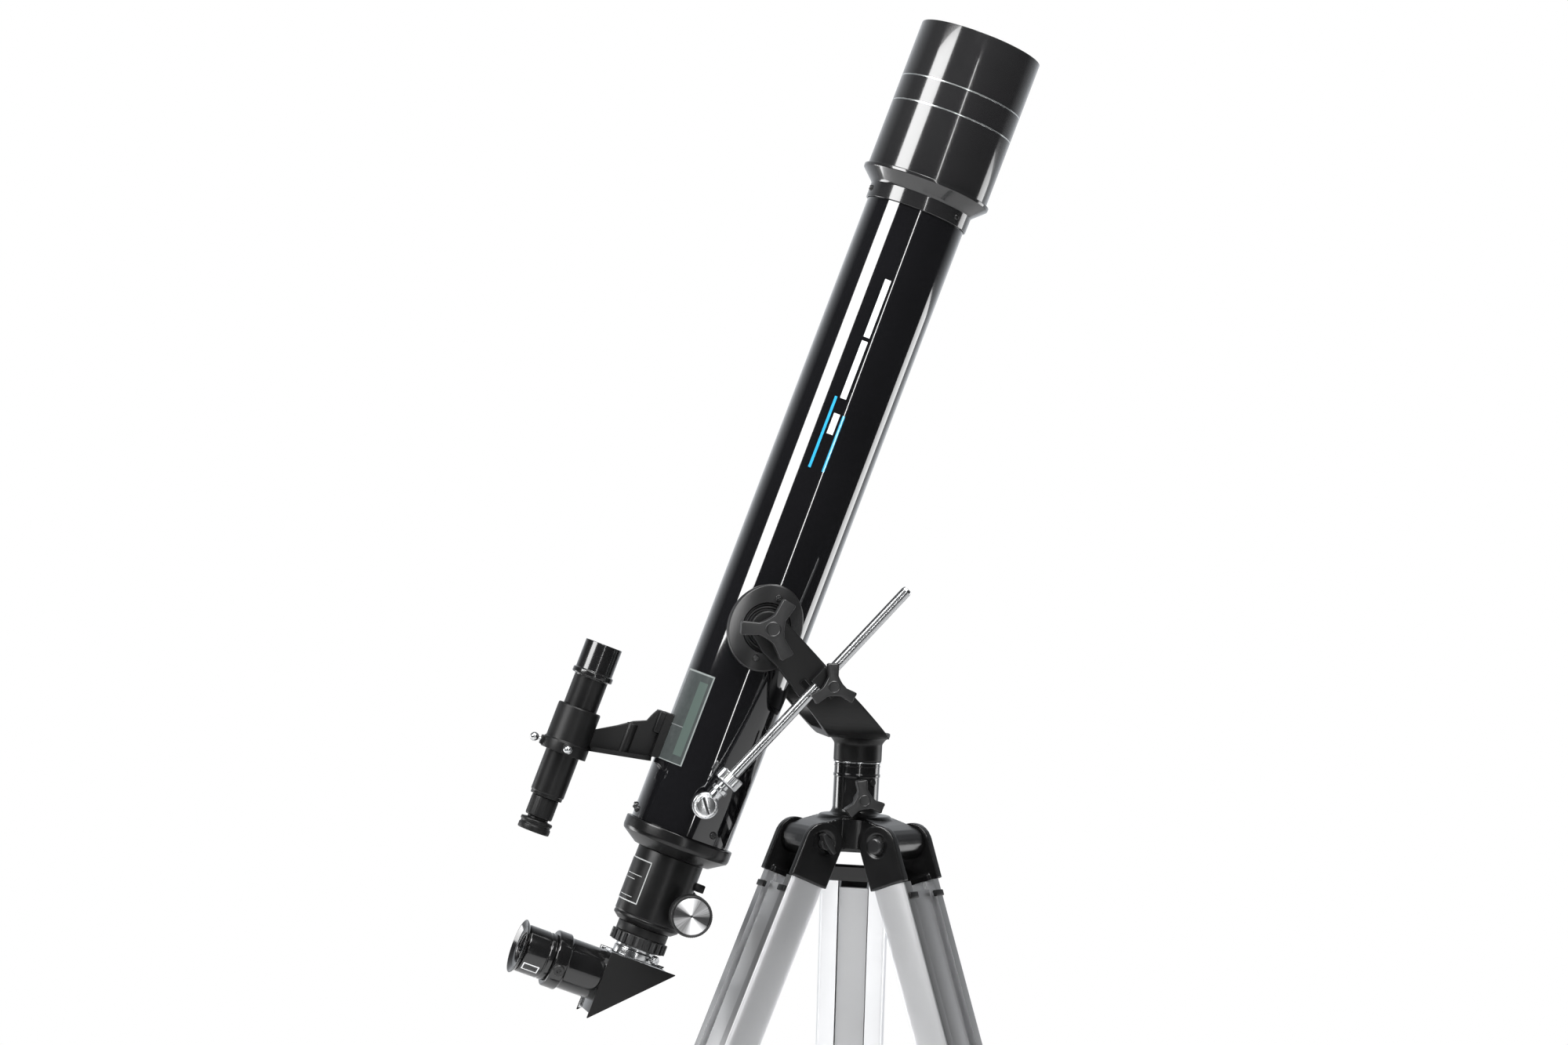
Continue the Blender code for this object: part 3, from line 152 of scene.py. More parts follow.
# %% [markdown]
# ## Finishes
# Each finish is a node tree. Writing it with nodes alone is slow to read, so one small class wraps a
# socket: adding or multiplying two wrapped sockets adds the Math node for it. Numbers that are the
# same everywhere go straight onto the shader; only what varies over the surface is wired.
# %% A wrapped shader socket
class Wire:
    """A node's output that can be used in arithmetic."""

    def __init__(self, tree, socket):
        self.tree = tree
        self.socket = socket

    def sum_up(self, operation, *values):
        node = self.tree.nodes.new("ShaderNodeMath")
        node.operation = operation
        for index, value in enumerate(values):
            if isinstance(value, Wire):
                self.tree.links.new(value.socket, node.inputs[index])
            else:
                node.inputs[index].default_value = value
        return Wire(self.tree, node.outputs[0])

    def __add__(self, other):
        return self.sum_up("ADD", self, other)

    def __radd__(self, other):
        return self.sum_up("ADD", other, self)

    def __sub__(self, other):
        return self.sum_up("SUBTRACT", self, other)

    def __rsub__(self, other):
        return self.sum_up("SUBTRACT", other, self)

    def __mul__(self, other):
        return self.sum_up("MULTIPLY", self, other)

    def __rmul__(self, other):
        return self.sum_up("MULTIPLY", other, self)

    def __gt__(self, other):
        return self.sum_up("GREATER_THAN", self, other)

    def __lt__(self, other):
        return self.sum_up("LESS_THAN", self, other)

    def sine(self):
        return self.sum_up("SINE", self)

    def within(self, low, high):
        """1 between two values and 0 outside them."""
        return (self > low) * (self < high)


print("a socket can now be added, multiplied and compared")

# %% One material
class Finish:
    """One material: its shader, and the method that adds any other node."""

    def __init__(self, name, colour, roughness, metallic=0.0, slot="", **shader):
        self.material = bpy.data.materials.new(name)
        self.material.use_nodes = True
        self.tree = self.material.node_tree
        self.shader = self.tree.nodes["Principled BSDF"]
        self.slot = slot
        self.set("Base Color", (*colour, 1))
        self.set("Roughness", roughness)
        self.set("Metallic", metallic)
        for socket, value in shader.items():
            self.set(socket.replace("_", " "), value)
        self.place = self.node("ShaderNodeTexCoord", output="Object")

    def set(self, socket, value):
        if isinstance(value, Wire):
            self.tree.links.new(value.socket, self.shader.inputs[socket])
        else:
            self.shader.inputs[socket].default_value = value

    def node(self, kind, settings=None, sockets=None, output=0):
        """Add a node: its settings first, then the values or links of its sockets."""
        node = self.tree.nodes.new(kind)
        for setting, value in (settings or {}).items():
            setattr(node, setting, value)
        for socket, value in (sockets or {}).items():
            if isinstance(value, Wire):
                self.tree.links.new(value.socket, node.inputs[socket])
            else:
                node.inputs[socket].default_value = value
        return Wire(self.tree, node.outputs[output])

    def noise(self, scale, detail=3.0, stretch=None, where=None):
        """Soft noise, in cycles per metre; stretch scales the coordinate on each axis."""
        where = where or self.place
        if stretch:
            where = self.node("ShaderNodeMapping", sockets={"Vector": where, "Scale": stretch})
        return self.node("ShaderNodeTexNoise", sockets={"Vector": where, "Scale": scale, "Detail": detail})

    def blend(self, factor, first, second):
        """A colour that goes from the first to the second as the factor goes from 0 to 1."""
        node = self.tree.nodes.new("ShaderNodeMix")
        node.data_type = "RGBA"
        for socket, value in ((node.inputs[0], factor), (node.inputs[6], first), (node.inputs[7], second)):
            if isinstance(value, Wire):
                self.tree.links.new(value.socket, socket)
            else:
                socket.default_value = value if isinstance(value, float) else (*value, 1)
        return Wire(self.tree, node.outputs[2])

    def bump(self, height, distance, strength=1.0):
        normal = self.node(
            "ShaderNodeBump", sockets={"Height": height, "Distance": distance, "Strength": strength}
        )
        self.set("Normal", normal)

    def wrap(self):
        """The wrap map of a turned or drawn piece: angle round it, and metres along it."""
        uv = self.node("ShaderNodeUVMap", {"uv_map": "Wrap"})
        node = self.tree.nodes.new("ShaderNodeSeparateXYZ")
        self.tree.links.new(uv.socket, node.inputs[0])
        return Wire(self.tree, node.outputs[0]), Wire(self.tree, node.outputs[1]), uv


print("material builder ready")

# %% One recipe for the black mouldings
def lamp_black(name, slot, shade, roughness, grain=900.0, depth=0.000008, **shader):
    """Black cast or moulded material: fine grain in the bump, and rubbed patches in the gloss."""
    made = Finish(name, (shade, shade, shade), roughness, slot=slot, **shader)
    patches = made.noise(38.0, 4.0)
    tint = (shade * 2.1, shade * 2.1, shade * 2.15)
    made.set("Base Color", made.blend(patches, (shade * 0.75, shade * 0.75, shade * 0.78), tint))
    made.set("Roughness", patches * 0.16 + (roughness - 0.08))
    made.bump(made.noise(grain, 2.0), depth)
    return made


print("finish helpers ready")

# %% [markdown]
# The tube is sprayed with gloss enamel: almost no colour of its own, a mirror-like top, and the very
# slight waviness called orange peel. The printed mark and the sticker near its tail are flat colour
# areas, so the wrap map (angle and height) masks them. Both are left blank of any lettering.
# %% The tube's gloss enamel
def gloss_enamel():
    made = Finish("tube_enamel", (0.006, 0.006, 0.007), 0.07, slot="tube_paint", Coat_Roughness=0.03)
    angle, height, _ = made.wrap()
    white = angle.within(-104.5, -97.5) * (height.within(0.178, 0.2235) + height.within(0.2265, 0.272))
    dot = angle.within(-104.5, -97.5) * height.within(0.150, 0.166)
    blue = angle.within(-110.5, -107.5) * height.within(0.122, 0.178)
    blue = blue + angle.within(-94.5, -91.5) * height.within(0.122, 0.166)
    plate = angle.within(-172.6, -123.8) * height.within(-0.1175, -0.0473)
    inner = angle.within(-171.4, -125.6) * height.within(-0.1168, -0.0486)
    band = angle.within(-141.0, -129.0) * height.within(-0.1110, -0.0540)
    rule = angle.within(-171.4, -141.0) * height.within(-0.0905, -0.0898)
    colour = made.blend(made.noise(14.0), (0.0035, 0.0035, 0.004), (0.006, 0.006, 0.007))
    colour = made.blend(white + dot, colour, (0.86, 0.87, 0.88))
    colour = made.blend(blue, colour, (0.035, 0.36, 0.62))
    colour = made.blend(plate, colour, (0.22, 0.24, 0.235))
    brushed = made.noise(260.0, 2.0, (0.1, 1.0, 1.0))
    colour = made.blend(inner, colour, made.blend(brushed, (0.040, 0.046, 0.046), (0.062, 0.070, 0.069)))
    colour = made.blend(band * inner, colour, (0.075, 0.100, 0.090))
    colour = made.blend(rule * inner, colour, (0.16, 0.17, 0.17))
    made.set("Base Color", colour)
    made.set("Roughness", made.noise(55.0, 3.0) * 0.04 + 0.05 + plate * 0.03)
    made.set("Coat Weight", 1 - plate * 0.8)
    made.bump(made.noise(420.0, 1.0), 0.0000012)
    return made


def shield_enamel():
    """Dark grey enamel with two bright turned bands."""
    made = Finish("shield_enamel", (0.02, 0.02, 0.021), 0.16, slot="shield_paint", Coat_Weight=0.6)
    _, height, _ = made.wrap()
    bands = height.within(0.4037, 0.4046) + height.within(0.4233, 0.4242)
    worn = made.noise(150.0, 3.0)
    colour = made.blend(made.noise(20.0), (0.012, 0.012, 0.0125), (0.018, 0.018, 0.0185))
    made.set("Base Color", made.blend(bands, colour, made.blend(worn, (0.42, 0.45, 0.45), (0.8, 0.82, 0.82))))
    made.set("Metallic", bands * 0.9)
    made.set("Roughness", worn * 0.06 + 0.11 + bands * 0.12)
    made.bump(made.noise(420.0, 1.0) * 0.03 - bands, 0.00006)
    return made


print("enamel recipes ready")

# %% The black finishes
TUBE_ENAMEL = gloss_enamel()
SHIELD_ENAMEL = shield_enamel()
GLOSS_PLASTIC = lamp_black("gloss_moulding", "gloss_plastic", 0.005, 0.15, 60.0, 0.000001, Coat_Weight=0.4)
DRUM_PLASTIC = lamp_black(
    "drum_moulding", "gloss_plastic", 0.004, 0.32, 900.0, 0.000004, Specular_IOR_Level=0.3
)
SATIN_BLACK = lamp_black(
    "satin_casting", "satin_black", 0.004, 0.40, 1400.0, 0.00001, Specular_IOR_Level=0.28
)
CELL_BLACK = lamp_black("turned_cell", "satin_black", 0.004, 0.24, 700.0, 0.000003, Specular_IOR_Level=0.4)
KNOB_PLASTIC = lamp_black("knob_moulding", "black_plastic", 0.009, 0.36, 1100.0, 0.000006)
PAD_BLACK = lamp_black("pad_moulding", "satin_black", 0.007, 0.36, 1400.0, 0.000008)
RUBBER = lamp_black("soft_rubber", "rubber", 0.008, 0.60, 1800.0, 0.00003)
FLOCK = lamp_black("inner_flock", "satin_black", 0.004, 0.85, 2500.0, 0.00008)
print("black finishes:", [f.material.name for f in (TUBE_ENAMEL, SHIELD_ENAMEL, GLOSS_PLASTIC, SATIN_BLACK)])

# %% [markdown]
# Bare metal comes in four kinds. Drawn aluminium keeps the long scratches of the die, so its noise is
# stretched along the leg. Chrome is nearly even, with faint handling marks. A spun face carries
# rings finer than a hair as a bump; the bright fan that a turned knob shows is a painted highlight in its
# colour.
# %% Metal finishes
def drawn_aluminium(name, shade, roughness):
    made = Finish(name, (shade, shade, shade), roughness, 1.0, slot="leg_aluminium")
    _, _, uv = made.wrap()
    scratches = made.noise(1.0, 4.0, (9000.0, 14.0, 1.0), uv)
    cloud = made.noise(12.0, 3.0)
    low = (shade * 0.90, shade * 0.905, shade * 0.92)
    high = (min(1.0, shade * 1.06), min(1.0, shade * 1.065), min(1.0, shade * 1.075))
    made.set("Base Color", made.blend(cloud, low, high))
    made.set("Roughness", scratches * 0.16 + (roughness - 0.08))
    made.bump(scratches, 0.0000015)
    return made


def chrome_plate():
    made = Finish("chrome_plate", (0.55, 0.56, 0.57), 0.2, 1.0, slot="chrome")
    marks = made.noise(25.0, 1.0)
    made.set("Base Color", made.blend(marks, (0.53, 0.54, 0.55), (0.58, 0.585, 0.59)))
    made.set("Roughness", marks * 0.05 + 0.19)
    return made


def spun_face():
    """Turned aluminium with fine rings as a bump; the bright fan up and down, dark left and right, is a
    painted highlight.
    """
    made = Finish("spun_aluminium", (0.6, 0.6, 0.61), 0.45, 0.1, slot="chrome")
    angle, across, uv = made.wrap()
    # painted highlight: the fan and its streaks are painted into the colour and stand for the spun face's
    # reflection
    painted_fan = (angle * math.radians(2) - 2.65).sine() * 0.34 + (angle * math.radians(4) - 1.2).sine() * 0.22
    streaks = made.noise(1.0, 2.0, (0.25, 20.0, 1.0), uv)
    share = painted_fan * 1.5 + streaks * 0.6 + 0.16
    rings = (across * 26000.0).sine()
    made.set("Base Color", made.blend(share, (0.02, 0.02, 0.021), (0.86, 0.86, 0.87)))
    made.set("Roughness", made.noise(300.0, 1.0) * 0.06 + 0.42)
    made.bump(rings, 0.000002)
    return made


def printed_silver():
    made = Finish("printed_silver", (0.40, 0.41, 0.41), 0.5, slot="satin_black")
    made.set("Base Color", made.blend(made.noise(90.0, 1.0), (0.36, 0.37, 0.37), (0.46, 0.47, 0.47)))
    return made


def lens_glass():
    made = Finish(
        "coated_glass", (0.9, 0.97, 0.95), 0.02, slot="lens_glass", Transmission_Weight=0.95, IOR=1.5
    )
    made.set("Base Color", made.blend(made.noise(9.0), (0.80, 0.94, 0.92), (0.86, 0.9, 0.98)))
    made.set("Roughness", made.noise(60.0) * 0.02 + 0.01)
    return made


print("metal recipes ready")

# %% Metals, ink and glass
RAIL_METAL = drawn_aluminium("rail_aluminium", 0.84, 0.38)
# The strip copy is the rail's own drawn aluminium painted darker: painted shade on the rails' flat fronts.
STRIP_SHADED_METAL = drawn_aluminium("strip_aluminium", 0.37, 0.44)
INNER_METAL = drawn_aluminium("inner_aluminium", 0.50, 0.44)
CHROME = chrome_plate()
SPUN = spun_face()
SILVER_INK = printed_silver()
GLASS = lens_glass()
DARK_STEEL = lamp_black("black_steel", "black_plastic", 0.010, 0.26, 500.0, 0.000002)
print("metals:", RAIL_METAL.material.name, CHROME.material.name, SPUN.material.name)

# %% [markdown]
# ## Shapes
# Most of a telescope is turned on a lathe, so the first tool spins a profile round Z. Corners of the
# profile are eased into small arcs first: a real edge is never perfectly sharp, and the arc is what
# catches a thin line of light. Every turned piece also gets a wrap map (angle, height).
# %% Turned pieces
def eased(profile, radius, closed=True):
    """Replace each corner of a profile by a short curve, except where it meets the axis."""
    count = len(profile)
    out = []
    for index, corner in enumerate(profile):
        corner = Vector(corner)
        ends = not closed and index in (0, count - 1)
        if corner.x < 1e-7 or ends or radius == 0:
            out.append(corner)
            continue
        before = Vector(profile[index - 1]) - corner
        after = Vector(profile[(index + 1) % count]) - corner
        if min(before.length, after.length) < 1e-7 or before.angle(after) > 3.0:
            out.append(corner)
            continue
        start = corner + before.normalized() * min(radius, before.length * 0.45)
        end = corner + after.normalized() * min(radius, after.length * 0.45)
        for step in range(5):
            t = step / 4
            out.append(start * (1 - t) ** 2 + corner * 2 * t * (1 - t) + end * t * t)
    return out


print("corners can be eased")

# %% The lathe itself
def turned(profile, radius=0.0004, steps=96):
    """Spin a profile of (radius, height) round Z; it is a ring unless it starts and ends on the axis."""
    ring = profile[0][0] > 1e-7 or profile[-1][0] > 1e-7
    points = eased(profile, radius, ring)
    shape = bmesh.new()
    wrap = shape.loops.layers.uv.new("Wrap")
    rows = []
    for point in points:
        if point.x < 1e-7:
            rows.append([shape.verts.new((0, 0, point.y))] * steps)
            continue
        swings = [math.tau * step / steps - math.pi for step in range(steps)]
        spots = [(point.x * math.cos(a), point.x * math.sin(a), point.y) for a in swings]
        rows.append([shape.verts.new(spot) for spot in spots])
    last = len(points) if ring else len(points) - 1
    for row in range(last):
        low, high = row, (row + 1) % len(points)
        for step in range(steps):
            after = (step + 1) % steps
            corners = [rows[low][step], rows[low][after], rows[high][after], rows[high][step]]
            where = [(step, low), (step + 1, low), (step + 1, high), (step, high)]
            kept = [i for i in range(4) if corners[i] not in corners[:i]]
            if len(kept) < 3:
                continue
            face = shape.faces.new([corners[i] for i in kept])
            for loop, i in zip(face.loops, kept):
                turn, level = where[i]
                height = points[level].x if abs(points[low].y - points[high].y) < 1e-6 else points[level].y
                loop[wrap].uv = (360 * turn / steps - 180, height)
    bmesh.ops.recalc_face_normals(shape, faces=shape.faces)
    return shape


def drum(radius, low, high, edge=0.0004, steps=64):
    return turned([(0, low), (radius, low), (radius, high), (0, high)], edge, steps)


def sleeve(outer, inner, low, high, edge=0.0004, steps=96):
    return turned([(inner, low), (outer, low), (outer, high), (inner, high)], edge, steps)


# %% [markdown]
# Other pieces are sawn or moulded from a flat outline. `slab` extrudes an outline along Z and eases
# both rims; `turn_shape` and `merged` place such a shape in a larger piece before it is finished.
# %% Flat outlines made solid
def slab(outline, low, high, edge=0.0005, steps=3):
    """Extrude an outline (x, y) from low to high, with its two rims rounded by an inset of each loop."""
    count = len(outline)
    points = [Vector(point) for point in outline]
    area = sum(points[i - 1].x * points[i].y - points[i].x * points[i - 1].y for i in range(count))
    sign = 1 if area > 0 else -1
    inward = []
    for index in range(count):
        before = (points[index] - points[index - 1]).normalized()
        after = (points[(index + 1) % count] - points[index]).normalized()
        left_before = Vector((-before.y, before.x)) * sign
        left_after = Vector((-after.y, after.x)) * sign
        middle = left_before + left_after
        inward.append(middle / max(0.35, middle.length_squared / 2))
    rings = []
    for step in range(steps + 1):
        swing = math.pi / 2 * step / steps
        rings.append((edge * (1 - math.sin(swing)), low + edge * (1 - math.cos(swing))))
    rings = rings + [(inset, high - (height - low)) for inset, height in reversed(rings)]
    shape = bmesh.new()
    wrap = shape.loops.layers.uv.new("Wrap")
    rows = []
    for inset, height in rings:
        moved = [point + push * inset for point, push in zip(points, inward)]
        rows.append([shape.verts.new((point.x, point.y, height)) for point in moved])
    lengths = [0.0]
    for index in range(count):
        lengths.append(lengths[-1] + (points[(index + 1) % count] - points[index]).length)
    for lower, upper in zip(rows, rows[1:]):
        for index in range(count):
            after = (index + 1) % count
            face = shape.faces.new((lower[index], lower[after], upper[after], upper[index]))
            for loop, along in zip(face.loops, (index, index + 1, index + 1, index)):
                loop[wrap].uv = (lengths[along], loop.vert.co.z)
    shape.faces.new(list(reversed(rows[0])))
    shape.faces.new(rows[-1])
    for face in shape.faces[-2:]:
        for loop in face.loops:
            loop[wrap].uv = loop.vert.co.xy
    bmesh.ops.recalc_face_normals(shape, faces=shape.faces)
    return shape


print("outlines can be made solid")

# %% Bricks, and putting shapes together
def block(low, high, edge=0.0005):
    """A brick with all its edges eased."""
    shape = bmesh.new()
    shape.loops.layers.uv.new("Wrap")
    size = Vector(high) - Vector(low)
    bmesh.ops.create_cube(shape, size=1.0, matrix=Matrix.Translation((Vector(low) + Vector(high)) / 2)
                          @ Matrix.Diagonal((*size, 1)))
    bmesh.ops.bevel(shape, geom=shape.edges, offset=edge, segments=3, profile=0.5, affect="EDGES")
    return shape


def turn_shape(shape, matrix):
    bmesh.ops.transform(shape, matrix=matrix, verts=shape.verts)
    return shape


def merged(*shapes):
    """Put several closed shapes into the first one."""
    first, *others = shapes
    for other in others:
        carrier = bpy.data.meshes.new("carrier")
        other.to_mesh(carrier)
        other.free()
        first.from_mesh(carrier)
        bpy.data.meshes.remove(carrier)
    return first


def side_view(matrix=Matrix.Identity(4)):
    """Turns a slab drawn in (x, z) so that its thickness runs across the object."""
    return matrix @ Matrix.Rotation(math.radians(90), 4, "X")


# %% [markdown]
# `make` is the bench's last stop: it bakes the placement into the mesh, shades it, gives it its
# finish, hides the simple solids it stands for, and lets it ride on their body.
# %% Finishing a piece
MADE = []


def make(name, shape, finish, place=Matrix.Identity(4), stands_for=(), body=None, smooth=38):
    if isinstance(shape, bmesh.types.BMesh):
        mesh = bpy.data.meshes.new(name)
        shape.to_mesh(mesh)
        shape.free()
    else:
        mesh = shape
    mesh.transform(place)
    if place.determinant() < 0:
        mesh.flip_normals()
    mesh.shade_smooth()
    mesh.set_sharp_from_angle(angle=math.radians(smooth))
    mesh.materials.clear()
    mesh.materials.append(finish.material)
    piece = bpy.data.objects.new(name, mesh)
    bpy.context.scene.collection.objects.link(piece)
    if isinstance(stands_for, str):
        stands_for = (stands_for,)
    if stands_for:
        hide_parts(*stands_for)
        body = body or frame["nodes"][stands_for[0]]["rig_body"]
    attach(piece, body)
    MADE.append(name)
    return piece


def second_finish(piece, finish, chosen):
    """Give the faces whose middle satisfies `chosen` another finish."""
    piece.data.materials.append(finish.material)
    slot = len(piece.data.materials) - 1
    count = 0
    for face in piece.data.polygons:
        if chosen(face.center):
            face.material_index = slot
            count += 1
    return count


print("bench ready")

# %% [markdown]
# ## Repeated detail with Geometry Nodes
# Screws, knurls and flutes are one small shape repeated round a circle. A node tree does this once
# for all of them: it spreads points on a circle, sets an instance on each, turns it to face outward,
# and then makes the instances real, because only real faces can be finished and exported.
# %% A tree that repeats a shape round a circle
def circle_tree():
    tree = bpy.data.node_groups.new("round_a_circle", "GeometryNodeTree")
    sockets = tree.interface
    sockets.new_socket("Geometry", in_out="INPUT", socket_type="NodeSocketGeometry")
    sockets.new_socket("Shape", in_out="INPUT", socket_type="NodeSocketObject")
    sockets.new_socket("Count", in_out="INPUT", socket_type="NodeSocketInt")
    sockets.new_socket("Radius", in_out="INPUT", socket_type="NodeSocketFloat")
    sockets.new_socket("Finish", in_out="INPUT", socket_type="NodeSocketMaterial")
    sockets.new_socket("Geometry", in_out="OUTPUT", socket_type="NodeSocketGeometry")
    nodes, links = tree.nodes, tree.links
    given = nodes.new("NodeGroupInput")
    result = nodes.new("NodeGroupOutput")
    circle = nodes.new("GeometryNodeMeshCircle")
    info = nodes.new("GeometryNodeObjectInfo")
    outward = nodes.new("FunctionNodeAlignRotationToVector")
    outward.axis = "X"
    outward.pivot_axis = "Z"
    position = nodes.new("GeometryNodeInputPosition")
    spread = nodes.new("GeometryNodeInstanceOnPoints")
    real = nodes.new("GeometryNodeRealizeInstances")
    finish = nodes.new("GeometryNodeSetMaterial")
    links.new(given.outputs["Count"], circle.inputs["Vertices"])
    links.new(given.outputs["Radius"], circle.inputs["Radius"])
    links.new(given.outputs["Shape"], info.inputs["Object"])
    links.new(position.outputs[0], outward.inputs["Vector"])
    links.new(circle.outputs["Mesh"], spread.inputs["Points"])
    links.new(info.outputs["Geometry"], spread.inputs["Instance"])
    links.new(outward.outputs[0], spread.inputs["Rotation"])
    links.new(spread.outputs[0], real.inputs[0])
    links.new(real.outputs[0], finish.inputs["Geometry"])
    links.new(given.outputs["Finish"], finish.inputs["Material"])
    links.new(finish.outputs[0], result.inputs[0])
    return tree


CIRCLE_TREE = circle_tree()
print("circle tree nodes:", len(CIRCLE_TREE.nodes))

# %% Using the circle tree
def round_circle(name, shape, count, radius, finish):
    """The mesh of `count` copies of a shape, each with its X pointing outward from Z."""
    pattern_mesh = bpy.data.meshes.new(name + "_one")
    shape.to_mesh(pattern_mesh)
    shape.free()
    pattern_mesh.shade_smooth()
    pattern = bpy.data.objects.new(name + "_one", pattern_mesh)
    carrier = bpy.data.objects.new(name + "_row", bpy.data.meshes.new(name + "_row"))
    for made in (pattern, carrier):
        bpy.context.scene.collection.objects.link(made)
    modifier = carrier.modifiers.new("repeat", "NODES")
    values = {"Shape": pattern, "Count": count, "Radius": radius, "Finish": finish.material}
    modifier.node_group = CIRCLE_TREE
    for item in CIRCLE_TREE.interface.items_tree:
        if item.in_out == "INPUT" and item.name in values:
            modifier[item.identifier] = values[item.name]
    bpy.context.view_layer.update()
    graph = bpy.context.evaluated_depsgraph_get()
    mesh = bpy.data.meshes.new_from_object(carrier.evaluated_get(graph))
    carrier.modifiers.remove(modifier)
    for made in (carrier, pattern):
        bpy.data.objects.remove(made)
    return mesh


def with_row(shape, row):
    """A turned shape with a repeated row joined to it."""
    shape.from_mesh(row)
    bpy.data.meshes.remove(row)
    return shape


print("repeat tree inputs:", [item.name for item in CIRCLE_TREE.interface.items_tree])

# %% [markdown]
# ## The optical tube
# A thin rolled tube. A long highlight only stays straight on a true cylinder, so the wall is spun with
# many steps instead of being left faceted. The rod's post and its slotted bolt sit
# near the tail.
# %% Main tube and the rod's pivot bolt
TUBE_RADIUS = 0.038
TAIL, FRONT = -0.164, 0.344
make(
    "optical_tube",
    turned([(0.0368, TAIL), (TUBE_RADIUS, TAIL), (TUBE_RADIUS, FRONT), (0.0368, FRONT)], 0.0002, 160),
    TUBE_ENAMEL,
    TUBE,
    "main_tube",
)
ROD_SIDE = facing(shifted(TUBE, x=0.0015, z=-0.1371), 1)


def slotted_head(radius, low, high, width=0.0011, depth=0.0009):
    """A domed head with a straight slot: two half discs on a plate."""
    crown = turned([(0, low), (radius, low), (radius, high - depth), (0, high - depth)], 0.0003, 48)
    halves = []
    for side in (1, -1):
        outline = []
        start = math.asin(width / 2 / radius)
        for step in range(17):
            swing = start + (math.pi - 2 * start) * step / 16
            outline.append(((radius - 0.0002) * math.cos(swing), side * (radius - 0.0002) * math.sin(swing)))
        if side < 0:
            outline.reverse()
        halves.append(slab(outline, high - depth - 0.0001, high, 0.0003))
    return merged(crown, *halves)


post = turned([(0, 0.030), (0.0078, 0.030), (0.0078, 0.0500), (0.0068, 0.0534), (0, 0.0534)], 0.0005, 48)
make("rod_post", post, SATIN_BLACK, ROD_SIDE, body="tube")
bolt = merged(drum(0.0039, 0.0530, 0.0630, 0.0002, 32), slotted_head(0.007, 0.0626, 0.0656))
make("rod_pivot_bolt", bolt, CHROME, ROD_SIDE @ Matrix.Rotation(math.radians(-50), 4, "Z"), body="tube")
# A thin dark block on the slot's floor: painted shade where the chrome slot falls dark.
slot_painted_shade = block((-0.0066, -0.0005, 0.0645), (0.0066, 0.0005, 0.0649), 0.0001)
slot_place = ROD_SIDE @ Matrix.Rotation(math.radians(-50), 4, "Z")
make("rod_bolt_slot", slot_painted_shade, DARK_STEEL, slot_place, body="tube")
print("tube", round(1000 * (FRONT - TAIL)), "mm long")

# %% [markdown]
# The objective cell is a turned ring with a flared lip, screwed to the tube's mouth. It holds a crown
# and a flint lens. The dew shield slides on it; its inside is flat black with shallow grooves, which
# stop stray light.
# %% Objective cell, lenses and dew shield
cell = [
    (0.0383, 0.329),
    (0.0395, 0.329),
    (0.0397, 0.3405),
    (0.0408, 0.342),
    (0.0493, 0.3500),
    (0.0495, 0.3525),
    (0.0453, 0.3528),
    (0.0452, 0.3665),
    (0.0361, 0.3665),
    (0.0361, 0.3490),
    (0.0343, 0.3490),
    (0.0343, 0.3443),
    (0.0383, 0.3443),
]
make("lens_cell", turned(cell, 0.0005, 144), SHIELD_ENAMEL, TUBE, "objective_cell")
ring = sleeve(0.0360, 0.0335, 0.3602, 0.3640, 0.0003, 96)
make("retaining_ring", ring, FLOCK, TUBE, body="tube")
LENS_EDGE = 0.0358
flint = [(0, 0.3525), (0.018, 0.3529), (LENS_EDGE, 0.3543), (LENS_EDGE, 0.3493), (0, 0.3493)]
make("flint_glass", turned(flint, 0.0002, 96), GLASS, TUBE, "flint_lens", smooth=50)
bulge = [(LENS_EDGE * i / 8, 0.3601 + 0.0018 * (1 - (i / 8) ** 2)) for i in range(9)]
hollow = [(LENS_EDGE * i / 8, 0.3546 - 0.0016 * (1 - (i / 8) ** 2)) for i in range(8, -1, -1)]
make("crown_glass", turned(bulge + hollow, 0, 96), GLASS, TUBE, "crown_lens", smooth=50)
SHIELD_LOW, SHIELD_HIGH = 0.3528, 0.4673
shield = [(0.0455, SHIELD_LOW), (0.0470, SHIELD_LOW), (0.0470, SHIELD_HIGH), (0.0455, SHIELD_HIGH)]
for step in range(24, 0, -1):
    height = SHIELD_LOW + 0.016 + step * 0.004
    shield += [(0.0455, height + 0.0012), (0.04535, height), (0.0455, height - 0.0012)]
hood = make("dew_hood", turned(shield, 0.0003, 144), SHIELD_ENAMEL, TUBE, "dew_shield")
inverse = TUBE.inverted()
dark = second_finish(hood, FLOCK, lambda c: (inverse @ c).xy.length < 0.0462 and (inverse @ c).z < 0.4670)
print("shield bore faces in flat black:", dark)

# %% [markdown]
# Small cap screws hold the cells. One dome with a cross recess is modelled, and the circle tree makes
# the row, so that changing the count keeps them evenly spaced.
# %% Screws on the cells
def cap_screw(radius, height):
    """A domed head along X with a cross recess, drawn as four raised quarters."""
    dome = [(0, -0.001), (radius, -0.001), (radius, height * 0.35), (radius * 0.8, height * 0.8),
            (0, height * 0.8)]
    head = turned(dome, 0.0002, 24)
    for turn in range(4):
        outline = []
        for step in range(5):
            swing = math.radians(18 + 54 * step / 4)
            outline.append((radius * 0.8 * math.cos(swing), radius * 0.8 * math.sin(swing)))
        outline.append((radius * 0.16, radius * 0.16))
        quarter = slab(outline, height * 0.7, height, 0.00012)
        head = merged(head, turn_shape(quarter, Matrix.Rotation(math.pi / 2 * turn, 4, "Z")))
    return turn_shape(head, Matrix.Rotation(math.radians(90), 4, "Y"))


